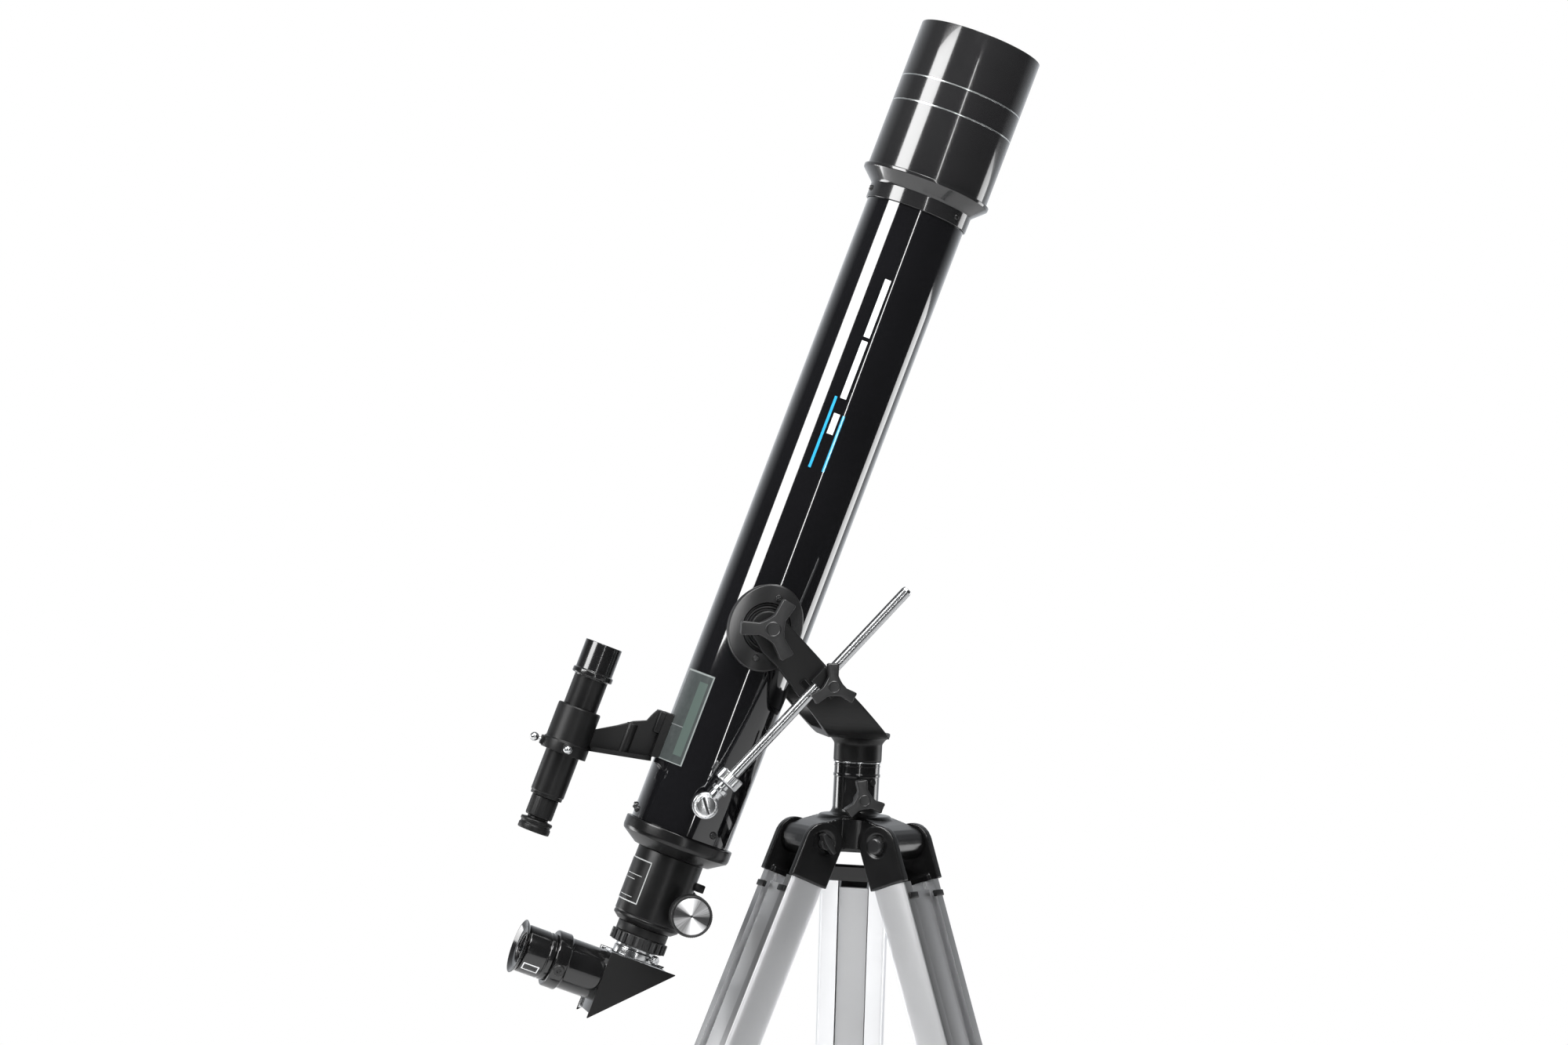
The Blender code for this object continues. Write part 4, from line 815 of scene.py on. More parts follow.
def screw_row(name, count, radius, height, first, size, place=TUBE, body="tube"):
    row = round_circle(name, cap_screw(*size), count, radius, DARK_STEEL)
    row.transform(Matrix.Rotation(math.radians(first), 4, "Z"))
    make(name, row, DARK_STEEL, shifted(place, z=height), body=body)


screw_row("cell_screws", 3, 0.0396, 0.3352, -52, (0.0022, 0.0014))
screw_row("rear_cell_screws", 3, 0.0380, -0.1565, -60, (0.0028, 0.0020))
left_turn = Matrix.Rotation(math.radians(-168), 4, "Z")
left_seat = shifted(TUBE, z=-0.1585) @ left_turn @ Matrix.Translation((0.038, 0, 0))
make("rear_cell_screw_left", cap_screw(0.0024, 0.0018), DARK_STEEL, left_seat, body="tube")
print("screws placed")

# %% [markdown]
# The tail is closed by a turned cell: a thick rim, a cone, and the focuser's socket. The focuser is a
# plain drum with a housing for the pinion on its right, and a blank name plate with a bright border.
# %% Rear cell and focuser body
rear = [
    (0.0340, -0.1503),
    (0.0365, -0.1503),
    (0.0365, -0.1643),
    (0.0412, -0.1643),
    (0.0415, -0.1652),
    (0.0415, -0.1720),
    (0.0408, -0.1743),
    (0.0290, -0.1820),
    (0.0230, -0.1820),
    (0.0230, -0.1760),
    (0.0340, -0.1703),
]
make("tail_cell", turned(rear, 0.0006, 144), CELL_BLACK, TUBE, "rear_cell")
body = [
    (0.0175, -0.1683),
    (0.0227, -0.1683),
    (0.0227, -0.1823),
    (0.0253, -0.1823),
    (0.0253, -0.2318),
    (0.0249, -0.2322),
    (0.0249, -0.2330),
    (0.0253, -0.2334),
    (0.0253, -0.2350),
    (0.0210, -0.2385),
    (0.0175, -0.2385),
]
housing_outline = [
    (0.0190, -0.0120), (0.0268, -0.0120), (0.0293, -0.0095),
    (0.0293, 0.0095), (0.0268, 0.0120), (0.0190, 0.0120),
]
housing = slab(housing_outline, -0.2275, -0.2065, 0.0008)
cap = slab([(0.0262, -0.0062), (0.0304, -0.0062), (0.0304, 0.0062), (0.0262, 0.0062)], -0.2245, -0.2095)
clip = block((0.0215, -0.0075, -0.2005), (0.0315, -0.0015, -0.1945), 0.0007)
focuser = merged(turned(body, 0.0005, 128), housing, cap, clip)
make("focuser_drum", focuser, DRUM_PLASTIC, TUBE, "focuser_body")
print("focuser drum made")

# %% A plate bent to the drum
def bent_plate(radius, first, last, low, high, lift, steps=16):
    """A thin plate that hugs a drum between two angles, standing `lift` off it."""
    shape = bmesh.new()
    shape.loops.layers.uv.new("Wrap")
    rows = []
    for level, reach in ((low, radius), (low, radius + lift), (high, radius + lift), (high, radius)):
        row = []
        for step in range(steps + 1):
            swing = math.radians(first + (last - first) * step / steps)
            row.append(shape.verts.new((reach * math.cos(swing), reach * math.sin(swing), level)))
        rows.append(row)
    for index in range(4):
        lower, upper = rows[index], rows[(index + 1) % 4]
        for step in range(steps):
            shape.faces.new((lower[step], lower[step + 1], upper[step + 1], upper[step]))
    for end in (0, steps):
        shape.faces.new([row[end] for row in rows])
    bmesh.ops.recalc_face_normals(shape, faces=shape.faces)
    return shape


print("plates can be bent")

# %% The blank name plate
PLATE_LOW, PLATE_HIGH = -0.2242, -0.1914
border = bent_plate(0.02515, -185, -124, PLATE_LOW, PLATE_HIGH, 0.0005)
make("name_plate_border", border, SILVER_INK, TUBE, body="tube")
plate = bent_plate(0.0252, -183.4, -125.6, PLATE_LOW + 0.0009, PLATE_HIGH - 0.0009, 0.0006)
make("name_plate_face", plate, DRUM_PLASTIC, TUBE, body="tube")
rules = merged(
    bent_plate(0.0252, -176, -133, -0.2040, -0.2036, 0.00068),
    bent_plate(0.0252, -176, -146, -0.2075, -0.2071, 0.00068),
    bent_plate(0.0252, -176, -138, -0.2205, -0.2201, 0.00068),
)
make("name_plate_rules", rules, SILVER_INK, TUBE, body="tube")
print("blank plate made")

# %% [markdown]
# The drawtube slides in the focuser. A toothed rack runs along it, and a small pinion on the knobs'
# shaft drives it: the teeth repeat along a line, so a second node tree, for a row, makes them.
# %% Drawtube with its rack
def line_tree():
    tree = bpy.data.node_groups.new("along_a_line", "GeometryNodeTree")
    sockets = tree.interface
    sockets.new_socket("Geometry", in_out="INPUT", socket_type="NodeSocketGeometry")
    sockets.new_socket("Shape", in_out="INPUT", socket_type="NodeSocketObject")
    sockets.new_socket("Count", in_out="INPUT", socket_type="NodeSocketInt")
    sockets.new_socket("Step", in_out="INPUT", socket_type="NodeSocketVector")
    sockets.new_socket("Finish", in_out="INPUT", socket_type="NodeSocketMaterial")
    sockets.new_socket("Geometry", in_out="OUTPUT", socket_type="NodeSocketGeometry")
    nodes, links = tree.nodes, tree.links
    given = nodes.new("NodeGroupInput")
    result = nodes.new("NodeGroupOutput")
    line = nodes.new("GeometryNodeMeshLine")
    info = nodes.new("GeometryNodeObjectInfo")
    spread = nodes.new("GeometryNodeInstanceOnPoints")
    real = nodes.new("GeometryNodeRealizeInstances")
    finish = nodes.new("GeometryNodeSetMaterial")
    links.new(given.outputs["Count"], line.inputs["Count"])
    links.new(given.outputs["Step"], line.inputs["Offset"])
    links.new(given.outputs["Shape"], info.inputs["Object"])
    links.new(line.outputs["Mesh"], spread.inputs["Points"])
    links.new(info.outputs["Geometry"], spread.inputs["Instance"])
    links.new(spread.outputs[0], real.inputs[0])
    links.new(real.outputs[0], finish.inputs["Geometry"])
    links.new(given.outputs["Finish"], finish.inputs["Material"])
    links.new(finish.outputs[0], result.inputs[0])
    return tree


LINE_TREE = line_tree()
print("line tree nodes:", len(LINE_TREE.nodes))

# %% Using the line tree
def row_of(name, shape, count, step, finish):
    pattern_mesh = bpy.data.meshes.new(name + "_one")
    shape.to_mesh(pattern_mesh)
    shape.free()
    pattern = bpy.data.objects.new(name + "_one", pattern_mesh)
    carrier = bpy.data.objects.new(name + "_row", bpy.data.meshes.new(name + "_row"))
    for made in (pattern, carrier):
        bpy.context.scene.collection.objects.link(made)
    modifier = carrier.modifiers.new("repeat", "NODES")
    modifier.node_group = LINE_TREE
    values = {"Shape": pattern, "Count": count, "Step": step, "Finish": finish.material}
    for item in LINE_TREE.interface.items_tree:
        if item.in_out == "INPUT" and item.name in values:
            modifier[item.identifier] = values[item.name]
    bpy.context.view_layer.update()
    mesh = bpy.data.meshes.new_from_object(carrier.evaluated_get(bpy.context.evaluated_depsgraph_get()))
    carrier.modifiers.remove(modifier)
    for made in (carrier, pattern):
        bpy.data.objects.remove(made)
    return mesh


print("rows can be made")

# %% Drawtube and rack teeth
draw = [
    (0.0161, -0.120),
    (0.0172, -0.120),
    (0.0172, -0.2388),
    (0.0195, -0.2388),
    (0.0195, -0.2455),
    (0.0161, -0.2455),
]
TEETH, TOOTH_PITCH = 74, 0.00158
tooth = block((0.0170, -0.0038, -0.2370), (0.0182, 0.0038, -0.2361), 0.0002)
teeth = row_of("rack_teeth", tooth, TEETH, (0, 0, TOOTH_PITCH), CHROME)
make("draw_barrel", turned(draw, 0.0004, 96), SATIN_BLACK, TUBE, "drawtube")
make("rack", teeth, CHROME, TUBE, body="draw")
print("rack teeth:", TEETH)

# %% [markdown]
# A focus knob is a knurled drum on a neck. Its face is turned aluminium inside a black rim. The knurl
# is a ring of narrow ribs, placed by the circle tree.
# %% Focus knobs and pinion shaft
def rib(low, high, width, depth):
    """One upright rib at X = 0, standing `depth` out of its ring."""
    outline = [(-0.0004, -width / 2), (depth * 0.6, -width / 2), (depth, 0), (depth * 0.6, width / 2),
               (-0.0004, width / 2)]
    return slab(outline, low, high, min(0.0002, width / 4), 1)


KNOB_BACK, KNOB_FRONT = 0.0300, 0.0450
for side, tail in ((1, "near"), (-1, "far")):
    seat = facing(PINION, side)
    ribs = round_circle("knurl", rib(KNOB_BACK + 0.0012, KNOB_FRONT - 0.0013, 0.0012, 0.00045), 60, 0.0152,
                        KNOB_PLASTIC)
    drum_profile = [
        (0, KNOB_FRONT - 0.0012),
        (0.0137, KNOB_FRONT - 0.0012),
        (0.0140, KNOB_FRONT),
        (0.0152, KNOB_FRONT),
        (0.0154, KNOB_FRONT - 0.001),
        (0.0153, KNOB_BACK + 0.001),
        (0.0145, KNOB_BACK),
        (0.0075, KNOB_BACK),
        (0.0075, 0.0192),
        (0, 0.0192),
    ]
    knob = with_row(turned(drum_profile, 0.0003, 96), ribs)
    make(f"focus_knob_rim_{tail}", knob, KNOB_PLASTIC, seat, f"focus_knob_{tail}")
    face = [
        (0, KNOB_FRONT - 0.0016),
        (0.0136, KNOB_FRONT - 0.0016),
        (0.0136, KNOB_FRONT - 0.0006),
        (0.0131, KNOB_FRONT - 0.0003),
        (0.0012, KNOB_FRONT - 0.0005),
        (0.0009, KNOB_FRONT - 0.0012),
        (0, KNOB_FRONT - 0.0013),
    ]
    make(f"focus_knob_face_{tail}", turned(face, 0.0001, 96), SPUN, seat, body="pinion")
cog_ribs = round_circle("cog", rib(-0.004, 0.004, 0.0016, 0.0011), 12, 0.0041, CHROME)
shaft = merged(drum(0.0025, -0.040, 0.040, 0.0003, 32), drum(0.0042, -0.004, 0.004, 0.0002, 36))
make("pinion_and_shaft", with_row(shaft, cog_ribs), CHROME, facing(PINION, 1), "pinion_shaft")

# %% [markdown]
# The clamp ring squeezes the diagonal's chrome nosepiece. Its flutes are ribs again, only wider. A
# small bright thumbscrew stands beside it.
# %% Clamp ring, nosepiece and thumbscrew
RING_TOP, RING_LOW = -0.2458, -0.2543
FLUTES = 22
flute = rib(RING_LOW + 0.0006, RING_TOP - 0.0004, 0.0038, 0.0019)
flutes = round_circle("flutes", flute, FLUTES, 0.0198, KNOB_PLASTIC)
ring = with_row(sleeve(0.0199, 0.01618, RING_LOW, RING_TOP, 0.0006), flutes)
make("fluted_clamp_ring", ring, KNOB_PLASTIC, TUBE, "clamp_ring")
nose = [
    (0.01468, 0.0003), (0.01588, 0.0003), (0.01588, 0.0055), (0.0152, 0.0062),
    (0.0152, 0.0078), (0.01588, 0.0085), (0.01588, 0.034), (0.01468, 0.034),
]
make("chrome_nosepiece", turned(nose, 0.0003, 96), CHROME, DIAGONAL, "nosepiece")
thumb_side = shifted(DIAGONAL, z=0.0046) @ Matrix.Rotation(math.radians(-52), 4, "Z") @ Matrix.Rotation(
    math.radians(90), 4, "Y")
thumb = [
    (0, 0.0150), (0.0016, 0.0150), (0.0016, 0.0185), (0.0032, 0.0188),
    (0.0032, 0.0222), (0.0026, 0.0228), (0, 0.0228),
]
grip = round_circle("thumb_grip", rib(0.0190, 0.0220, 0.0007, 0.0004), 18, 0.0031, CHROME)
make("thumbscrew", with_row(turned(thumb, 0.0002, 32), grip), CHROME, thumb_side, body="diagonal")
print("flutes:", FLUTES)

# %% [markdown]
# The right-angle diagonal is a small triangular box: satin side plates on a gloss body, with the
# plates' edges showing as a thin bright line. It carries a right-angle prism, whose long face turns
# the light, and a round holder that takes the eyepiece.
# %% Prism housing
BACK, LEG, HALF = 0.021, 0.052, 0.021


def corner(inset, cut=0.0018):
    """The triangle's outline, moved in by `inset`, with its two sharp tips cut square."""
    far = LEG - inset * (1 + math.sqrt(2))
    return [
        (-BACK + inset, -inset),
        (-BACK + inset, -far + cut),
        (-BACK + inset + cut, -far + cut),
        (far - BACK - cut, -inset - cut),
        (far - BACK - cut, -inset),
    ]


case = turn_shape(slab(corner(0.0010), -HALF + 0.0022, HALF - 0.0022, 0.0004), side_view())
plates = []
for side in (1, -1):
    low, high = sorted((side * (HALF - 0.0019), side * HALF))
    plates.append(turn_shape(slab(corner(0.0, 0.0006), low, high, 0.00035), side_view()))
holder = [
    (0.0100, 0.0195),
    (0.0192, 0.0195),
    (0.0192, 0.0470),
    (0.0196, 0.0480),
    (0.0214, 0.0486),
    (0.0214, 0.0582),
    (0.0208, 0.0588),
    (0.0162, 0.0588),
    (0.0162, 0.0205),
    (0.0100, 0.0205),
]
make("prism_case", case, GLOSS_PLASTIC, DIAGONAL, "diagonal_housing")
make("prism_side_plates", merged(*plates), SATIN_BLACK, DIAGONAL, body="diagonal")
make("eyepiece_holder", turned(holder, 0.0006, 128), GLOSS_PLASTIC, EYEPIECE, body="diagonal")
print("prism case and eyepiece holder made")

# %% Plate edges, prism and set screw
edge_lines = []
for side in (1, -1):
    low, high = sorted((side * (HALF - 0.0023), side * (HALF - 0.0019)))
    edge_lines.append(turn_shape(slab(corner(0.0003), low, high, 0.0001), side_view()))
make("prism_plate_edges", merged(*edge_lines), CHROME, DIAGONAL, body="diagonal")
glass = turn_shape(slab(corner(0.0030), -HALF + 0.0045, HALF - 0.0045, 0.0003), side_view())
make("glass_prism", glass, GLASS, DIAGONAL, "diagonal_prism", smooth=20)
set_place = shifted(EYEPIECE, z=0.0535) @ Matrix.Rotation(math.radians(-104), 4, "Z") @ Matrix.Rotation(
    math.radians(90), 4, "Y")
set_screw = [
    (0, 0.0205), (0.0045, 0.0205), (0.0045, 0.0226), (0.0040, 0.0232),
    (0.0016, 0.0232), (0.0013, 0.0222), (0, 0.0222),
]
make("holder_set_screw", turned(set_screw, 0.0004, 36), KNOB_PLASTIC, set_place, body="diagonal")

# %% [markdown]
# The eyepiece is gloss black with a flared rubber cup, and a lens down inside. The little outlined
# rectangle near its end stands for a printed focal length and is left blank.
# %% Eyepiece
ocular = [
    (0.01468, 0.030),
    (0.01588, 0.030),
    (0.01588, 0.0591),
    (0.01775, 0.0591),
    (0.01775, 0.0628),
    (0.0172, 0.0632),
    (0.0172, 0.0640),
    (0.01775, 0.0644),
    (0.01775, 0.0798),
    (0.0172, 0.0806),
    (0.0100, 0.0806),
    (0.0100, 0.0650),
    (0.01468, 0.0620),
]
make("eyepiece_body", turned(ocular, 0.0004, 128), GLOSS_PLASTIC, EYEPIECE, "eyepiece")
cup = [
    (0.0112, 0.0809),
    (0.0172, 0.0809),
    (0.0184, 0.0820),
    (0.0204, 0.0839),
    (0.0204, 0.0844),
    (0.0196, 0.0844),
    (0.0150, 0.0822),
    (0.0118, 0.0818),
]
make("eyecup_rubber", turned(cup, 0.0003, 128), GLOSS_PLASTIC, EYEPIECE, "eyecup")
eye_lens = [(0, 0.0790)] + [(0.0099 * i / 6, 0.0775 + 0.0015 * (1 - (i / 6) ** 2)) for i in range(1, 7)]
eye_lens += [(0.0099, 0.0755), (0, 0.0755)]
make("eye_lens", turned(eye_lens, 0, 64), GLASS, EYEPIECE, body="eyepiece", smooth=60)
frame_plate = bent_plate(0.01772, -140, -118, 0.0665, 0.0790, 0.00008)
make("eyepiece_mark_border", frame_plate, RAIL_METAL, EYEPIECE, body="eyepiece")
mark = bent_plate(0.01775, -137, -121, 0.0674, 0.0781, 0.0001)
make("eyepiece_mark_face", mark, GLOSS_PLASTIC, EYEPIECE, body="eyepiece")
print("diagonal and eyepiece made")

# %% [markdown]
# ## Finder
# A small scope beside the tube's tail, held by a ring with ball-ended screws. Its front carries a
# hood; its eyepiece screws in at the lower end.
# %% Finder scope
hood = [
    (0.0129, 0),
    (0.0141, 0),
    (0.0141, 0.0215),
    (0.0152, 0.0220),
    (0.0155, 0.0225),
    (0.0155, 0.0256),
    (0.0148, 0.0260),
    (0.0128, 0.0264),
    (0.0128, 0.1175),
    (0.0121, 0.1180),
    (0.0121, 0.1205),
    (0.0087, 0.1205),
    (0.0087, 0.1165),
    (0.0115, 0.1125),
    (0.0115, 0.026),
    (0.0129, 0.018),
]
barrel = make("finder_barrel", turned(hood, 0.0005, 96), GLOSS_PLASTIC, FINDER, "finder_tube")
back = FINDER.inverted()
second_finish(barrel, DRUM_PLASTIC, lambda c: (back @ c).z > 0.0275)
lens = [(0.0127 * i / 6, 0.0155 - 0.0020 * (1 - (i / 6) ** 2)) for i in range(7)]
lens += [(0.0127, 0.0175), (0, 0.0175)]
make("finder_objective", turned(lens, 0, 64), GLASS, FINDER, "finder_lens", smooth=60)
ocular = [
    (0.0055, 0.1085),
    (0.0084, 0.1085),
    (0.0084, 0.1208),
    (0.0102, 0.1208),
    (0.0102, 0.1355),
    (0.0098, 0.1361),
    (0.0079, 0.1363),
    (0.0079, 0.1378),
    (0.0118, 0.1384),
    (0.0122, 0.1390),
    (0.0122, 0.1405),
    (0.0114, 0.1412),
    (0.0114, 0.1425),
    (0.0122, 0.1432),
    (0.0122, 0.1467),
    (0.0116, 0.1473),
    (0.0100, 0.1473),
    (0.0055, 0.1453),
]
finder_grip = round_circle("finder_grip", rib(0.1222, 0.1350, 0.0011, 0.0004), 40, 0.0099, SATIN_BLACK)
ocular_shape = with_row(turned(ocular, 0.0004, 96), finder_grip)
make("finder_ocular_body", ocular_shape, SATIN_BLACK, FINDER, "finder_eyepiece")
lens = [(0, 0.1440)] + [(0.0056 * i / 5, 0.1442 + 0.0006 * (1 - (i / 5) ** 2)) for i in range(5, -1, -1)]
make("finder_eye_lens", turned(lens, 0, 48), GLASS, FINDER, body="finder_ocular", smooth=60)
print("finder scope made")

# %% [markdown]
# The finder's bracket is one casting: a ring with a heavier lower flange, an upright web, a shelf
# with an oval hole, a round boss, and a stepped foot that hugs the tube.
# %% Finder bracket
BRACKET = shifted(TUBE, x=-0.103)
RING_HIGH, RING_FOOT, WEB_FOOT = -0.1039, -0.1397, -0.1339
ring = [
    (0.0140, RING_HIGH),
    (0.0140, RING_FOOT),
    (0.0176, RING_FOOT),
    (0.0176, RING_FOOT + 0.0080),
    (0.0164, RING_FOOT + 0.0092),
    (0.0164, RING_HIGH - 0.0010),
    (0.0158, RING_HIGH),
]
reach = 0.0647
web = [
    (0.0152, WEB_FOOT + 0.0185),
    (0.0152, WEB_FOOT + 0.002),
    (reach - 0.010, WEB_FOOT + 0.010),
    (reach - 0.001, WEB_FOOT + 0.0155),
    (reach - 0.001, -0.0845),
    (reach - 0.010, -0.0845),
    (reach - 0.0125, -0.0890),
    (reach - 0.0150, -0.0950),
    (reach - 0.0240, -0.0990),
    (reach - 0.0340, -0.1060),
]
web_shape = turn_shape(slab(web, -0.0025, 0.0025, 0.0007), side_view())
print("bracket web made")

# %% The shelf with its oval hole
def shelf_shape():
    """A sloping plate with an oval hole, as two loops bridged together."""
    outline, hole = [], []
    for step in range(32):
        swing = math.tau * step / 32
        c, s = math.cos(swing), math.sin(swing)
        power = 0.28
        along, over = [math.copysign(abs(value) ** power, value) for value in (c, s)]
        outline.append((0.0235 * along, 0.0085 * over))
        hole.append((0.0075 * c + 0.008, 0.0042 * s))
    shape = bmesh.new()
    shape.loops.layers.uv.new("Wrap")
    rows = []
    for loop, height in ((hole, 0.0017), (outline, 0.0017), (outline, -0.0017), (hole, -0.0017)):
        rows.append([shape.verts.new((x, y, height)) for x, y in loop])
    for index in range(4):
        lower, upper = rows[index], rows[(index + 1) % 4]
        for step in range(32):
            after = (step + 1) % 32
            shape.faces.new((lower[step], lower[after], upper[after], upper[step]))
    bmesh.ops.recalc_face_normals(shape, faces=shape.faces)
    return shape


tilt = math.atan2(0.0100, reach - 0.0152)
shelf_place = Matrix.Translation((0.0395, 0, WEB_FOOT + 0.0090)) @ Matrix.Rotation(-tilt, 4, "Y")
shelf = turn_shape(shelf_shape(), shelf_place)
boss = drum(0.0045, WEB_FOOT + 0.010, WEB_FOOT + 0.0330, 0.0008, 40)
turn_shape(boss, Matrix.Translation((reach - 0.0235, 0, 0)))
print("shelf and boss made")

# %% The foot, and the casting as one
def saddle():
    """The foot: a block whose tube side follows the tube's curve."""
    outline = [(reach - 0.004, -0.011)]
    for step in range(9):
        y = -0.011 + 0.022 * step / 8
        outline.append((0.103 - math.sqrt(0.0383**2 - y * y), y))
    outline.append((reach - 0.004, 0.011))
    return slab(outline, WEB_FOOT + 0.0155, -0.084, 0.0006)


step_block = block((reach - 0.0085, -0.0080, -0.1010), (reach + 0.0010, 0.0080, -0.0842), 0.0010)
bracket = merged(turned(ring, 0.0005, 96), web_shape, shelf, boss, saddle(), step_block)
screw_bosses = []
for swing in (180, -90, 60):
    nub = block((0.0155, -0.0035, RING_FOOT + 0.0008), (0.0192, 0.0035, RING_FOOT + 0.0078), 0.0008)
    screw_bosses.append(turn_shape(nub, Matrix.Rotation(math.radians(swing), 4, "Z")))
make("finder_bracket_casting", merged(bracket, *screw_bosses), SATIN_BLACK, BRACKET, "finder_bracket")
print("finder bracket casting made")

# %% Finder screws
def ball_screw():
    """A thin stem with a round ball, along X."""
    turns = [math.pi * i / 10 for i in range(11)]
    ball = [(0.0034 * math.sin(a), 0.0072 - 0.0034 * math.cos(a)) for a in turns]
    ball[0], ball[-1] = (0, ball[0][1]), (0, ball[-1][1])
    stem = drum(0.0013, -0.0040, 0.0070, 0.0001, 16)
    return turn_shape(merged(stem, turned(ball, 0, 24)), Matrix.Rotation(math.radians(90), 4, "Y"))


for swing in (180, -90, 60):
    spin = Matrix.Rotation(math.radians(swing), 4, "Z")
    screw = turn_shape(ball_screw(), spin @ Matrix.Translation((0.0168, 0, 0)))
    make(f"finder_screw_{swing % 360}", screw, CHROME, shifted(BRACKET, z=RING_FOOT + 0.0043), body="tube")
print("three finder screws made")

# %% [markdown]
# ## Altitude pads
# Two plates hug the tube where the fork holds it. Each is cut from a shell: a grid over the oval,
# bent onto the tube, with a round recess and fine rings about the pivot, and two dark screws.
# %% Altitude pads
HUG, CROWN = 0.0383, 0.0440


def pad_shape(side):
    """A shell over an oval 55 by 66 mm; the rim is rounded and a ribbed recess surrounds the pivot."""
    rings, spokes = 30, 96
    shape = bmesh.new()
    shape.loops.layers.uv.new("Wrap")

    def raised(share):
        """How far the surface stands proud, from the middle (0) to the rim (1)."""
        distance = 0.0302 * share
        if share > 0.965:
            return CROWN - 0.0012 * ((share - 0.965) / 0.035) ** 2
        if distance < 0.0125:
            return CROWN - 0.0012
        if distance < 0.0185:
            return CROWN - 0.0009 + 0.00055 * math.cos(distance * math.tau / 0.0019)
        return CROWN

    levels = [0.0045 / 0.0302] + [0.17 + 0.83 * (i / rings) for i in range(rings + 1)]
    fine = []
    for first, second in zip(levels, levels[1:]):
        fine += [first, (first + second) / 2]
    levels = fine + [0.985, 1.0]
    outer, inner = [], []
    for share in levels:
        up_row, low_row = [], []
        for spoke in range(spokes):
            swing = math.tau * spoke / spokes
            round_share = max(0.0, min(1.0, (share - 0.45) / 0.5))
            reach_x = share * (0.0302 + (0.0275 - 0.0302) * round_share)
            reach_z = share * (0.0302 + (0.0330 - 0.0302) * round_share)
            x, z = reach_x * math.cos(swing), reach_z * math.sin(swing)
            up_row.append(shape.verts.new((x, side * math.sqrt(raised(share) ** 2 - x * x), z)))
            low_row.append(shape.verts.new((x, side * math.sqrt(HUG**2 - x * x), z)))
        outer.append(up_row)
        inner.append(low_row)
    rows = outer + inner[::-1]
    for index in range(len(rows)):
        lower, upper = rows[index], rows[(index + 1) % len(rows)]
        for spoke in range(spokes):
            after = (spoke + 1) % spokes
            shape.faces.new((lower[spoke], lower[after], upper[after], upper[spoke]))
    bmesh.ops.recalc_face_normals(shape, faces=shape.faces)
    return shape


for side, tail in ((-1, "near"), (1, "far")):
    make(f"pad_{tail}", pad_shape(side), PAD_BLACK, TUBE, f"altitude_pad_{tail}", smooth=50)
    for height in (0.0235, -0.0235):
        seat = facing(shifted(TUBE, z=height), -side)
        head = turn_shape(cap_screw(0.0026, 0.0016), Matrix.Rotation(math.radians(-90), 4, "Y"))
        end = "up" if height > 0 else "low"
        make(f"pad_screw_{tail}_{end}", head, DARK_STEEL, shifted(seat, z=CROWN), body="tube")
print("pads made")

# %% [markdown]
# ## Fork
# The fork is a die casting: a flat band bent into a U, sloping back to a round neck that turns in the
# column. A die casting has no sharp edges, so the rough union of its parts is remeshed into one skin
# and smoothed, which rounds every edge and fills every inner corner at once.
# %% Fork casting
ARM_OUT, ARM_IN, EYE = 0.0510, 0.0450, 0.0130
BASE_Y = 0.026
OFFSET, RISE_TO_COLUMN = 0.0796, 0.1567 - 0.0585


def blended(name, shapes, cutters, voxel, passes):
    """Union shapes, cut, remesh to one skin, and smooth it."""
    parts = []
    for index, shape in enumerate(list(shapes) + list(cutters)):
        mesh = bpy.data.meshes.new(f"{name}_part_{index}")
        bmesh.ops.recalc_face_normals(shape, faces=shape.faces)
        shape.to_mesh(mesh)
        shape.free()
        part = bpy.data.objects.new(mesh.name, mesh)
        bpy.context.scene.collection.objects.link(part)
        parts.append(part)
    base = parts[0]
    for index, part in enumerate(parts[1:], start=1):
        modifier = base.modifiers.new("combine", "BOOLEAN")
        modifier.object = part
        modifier.solver = "EXACT"
        modifier.operation = "UNION" if index < len(shapes) else "DIFFERENCE"
    remesh = base.modifiers.new("skin", "REMESH")
    remesh.mode = "VOXEL"
    remesh.voxel_size = voxel
    soften = base.modifiers.new("soften", "SMOOTH")
    soften.iterations = passes
    bpy.context.view_layer.update()
    mesh = bpy.data.meshes.new_from_object(base.evaluated_get(bpy.context.evaluated_depsgraph_get()))
    for part in parts:
        bpy.data.objects.remove(part)
    print(name, len(mesh.polygons), "faces")
    return mesh


print("fork sizes and the blending helper are ready")

# %% Outlines of the arms and the band
def arm_outline():
    """An arm from the side: the eye round the pivot, slimming, then sloping down to the band's base."""
    points = []
    for step in range(17):
        swing = math.radians(46 + 180 * step / 16)
        points.append((EYE * math.cos(swing), EYE * math.sin(swing)))
    points += [(-0.0040, -0.0175), (0.0082, -0.0285), (0.0254, -0.0491), (0.0526, -0.0796), (0.0992, -0.0796)]
    return points


def band_outline():
    """The band from the front: two arms curving into a flat base."""
    outside, inside = [], []
    for step in range(13):
        swing = math.pi / 2 * step / 12
        outside.append((BASE_Y + (ARM_OUT - BASE_Y) * math.cos(swing), -0.048 - 0.031 * math.sin(swing)))
        y = BASE_Y - 0.003 + (ARM_IN - BASE_Y + 0.003) * math.cos(swing)
        inside.append((y, -0.048 - 0.025 * math.sin(swing)))
    right = [(ARM_OUT, 0.0145)] + outside
    left = [(-y, z) for y, z in reversed(right)]
    inner_left = [(-y, z) for y, z in inside]
    inner_left.insert(0, (-ARM_IN, 0.0145))
    return right + left + inner_left + [(-y, z) for y, z in reversed(inner_left)]


print("fork outlines ready")

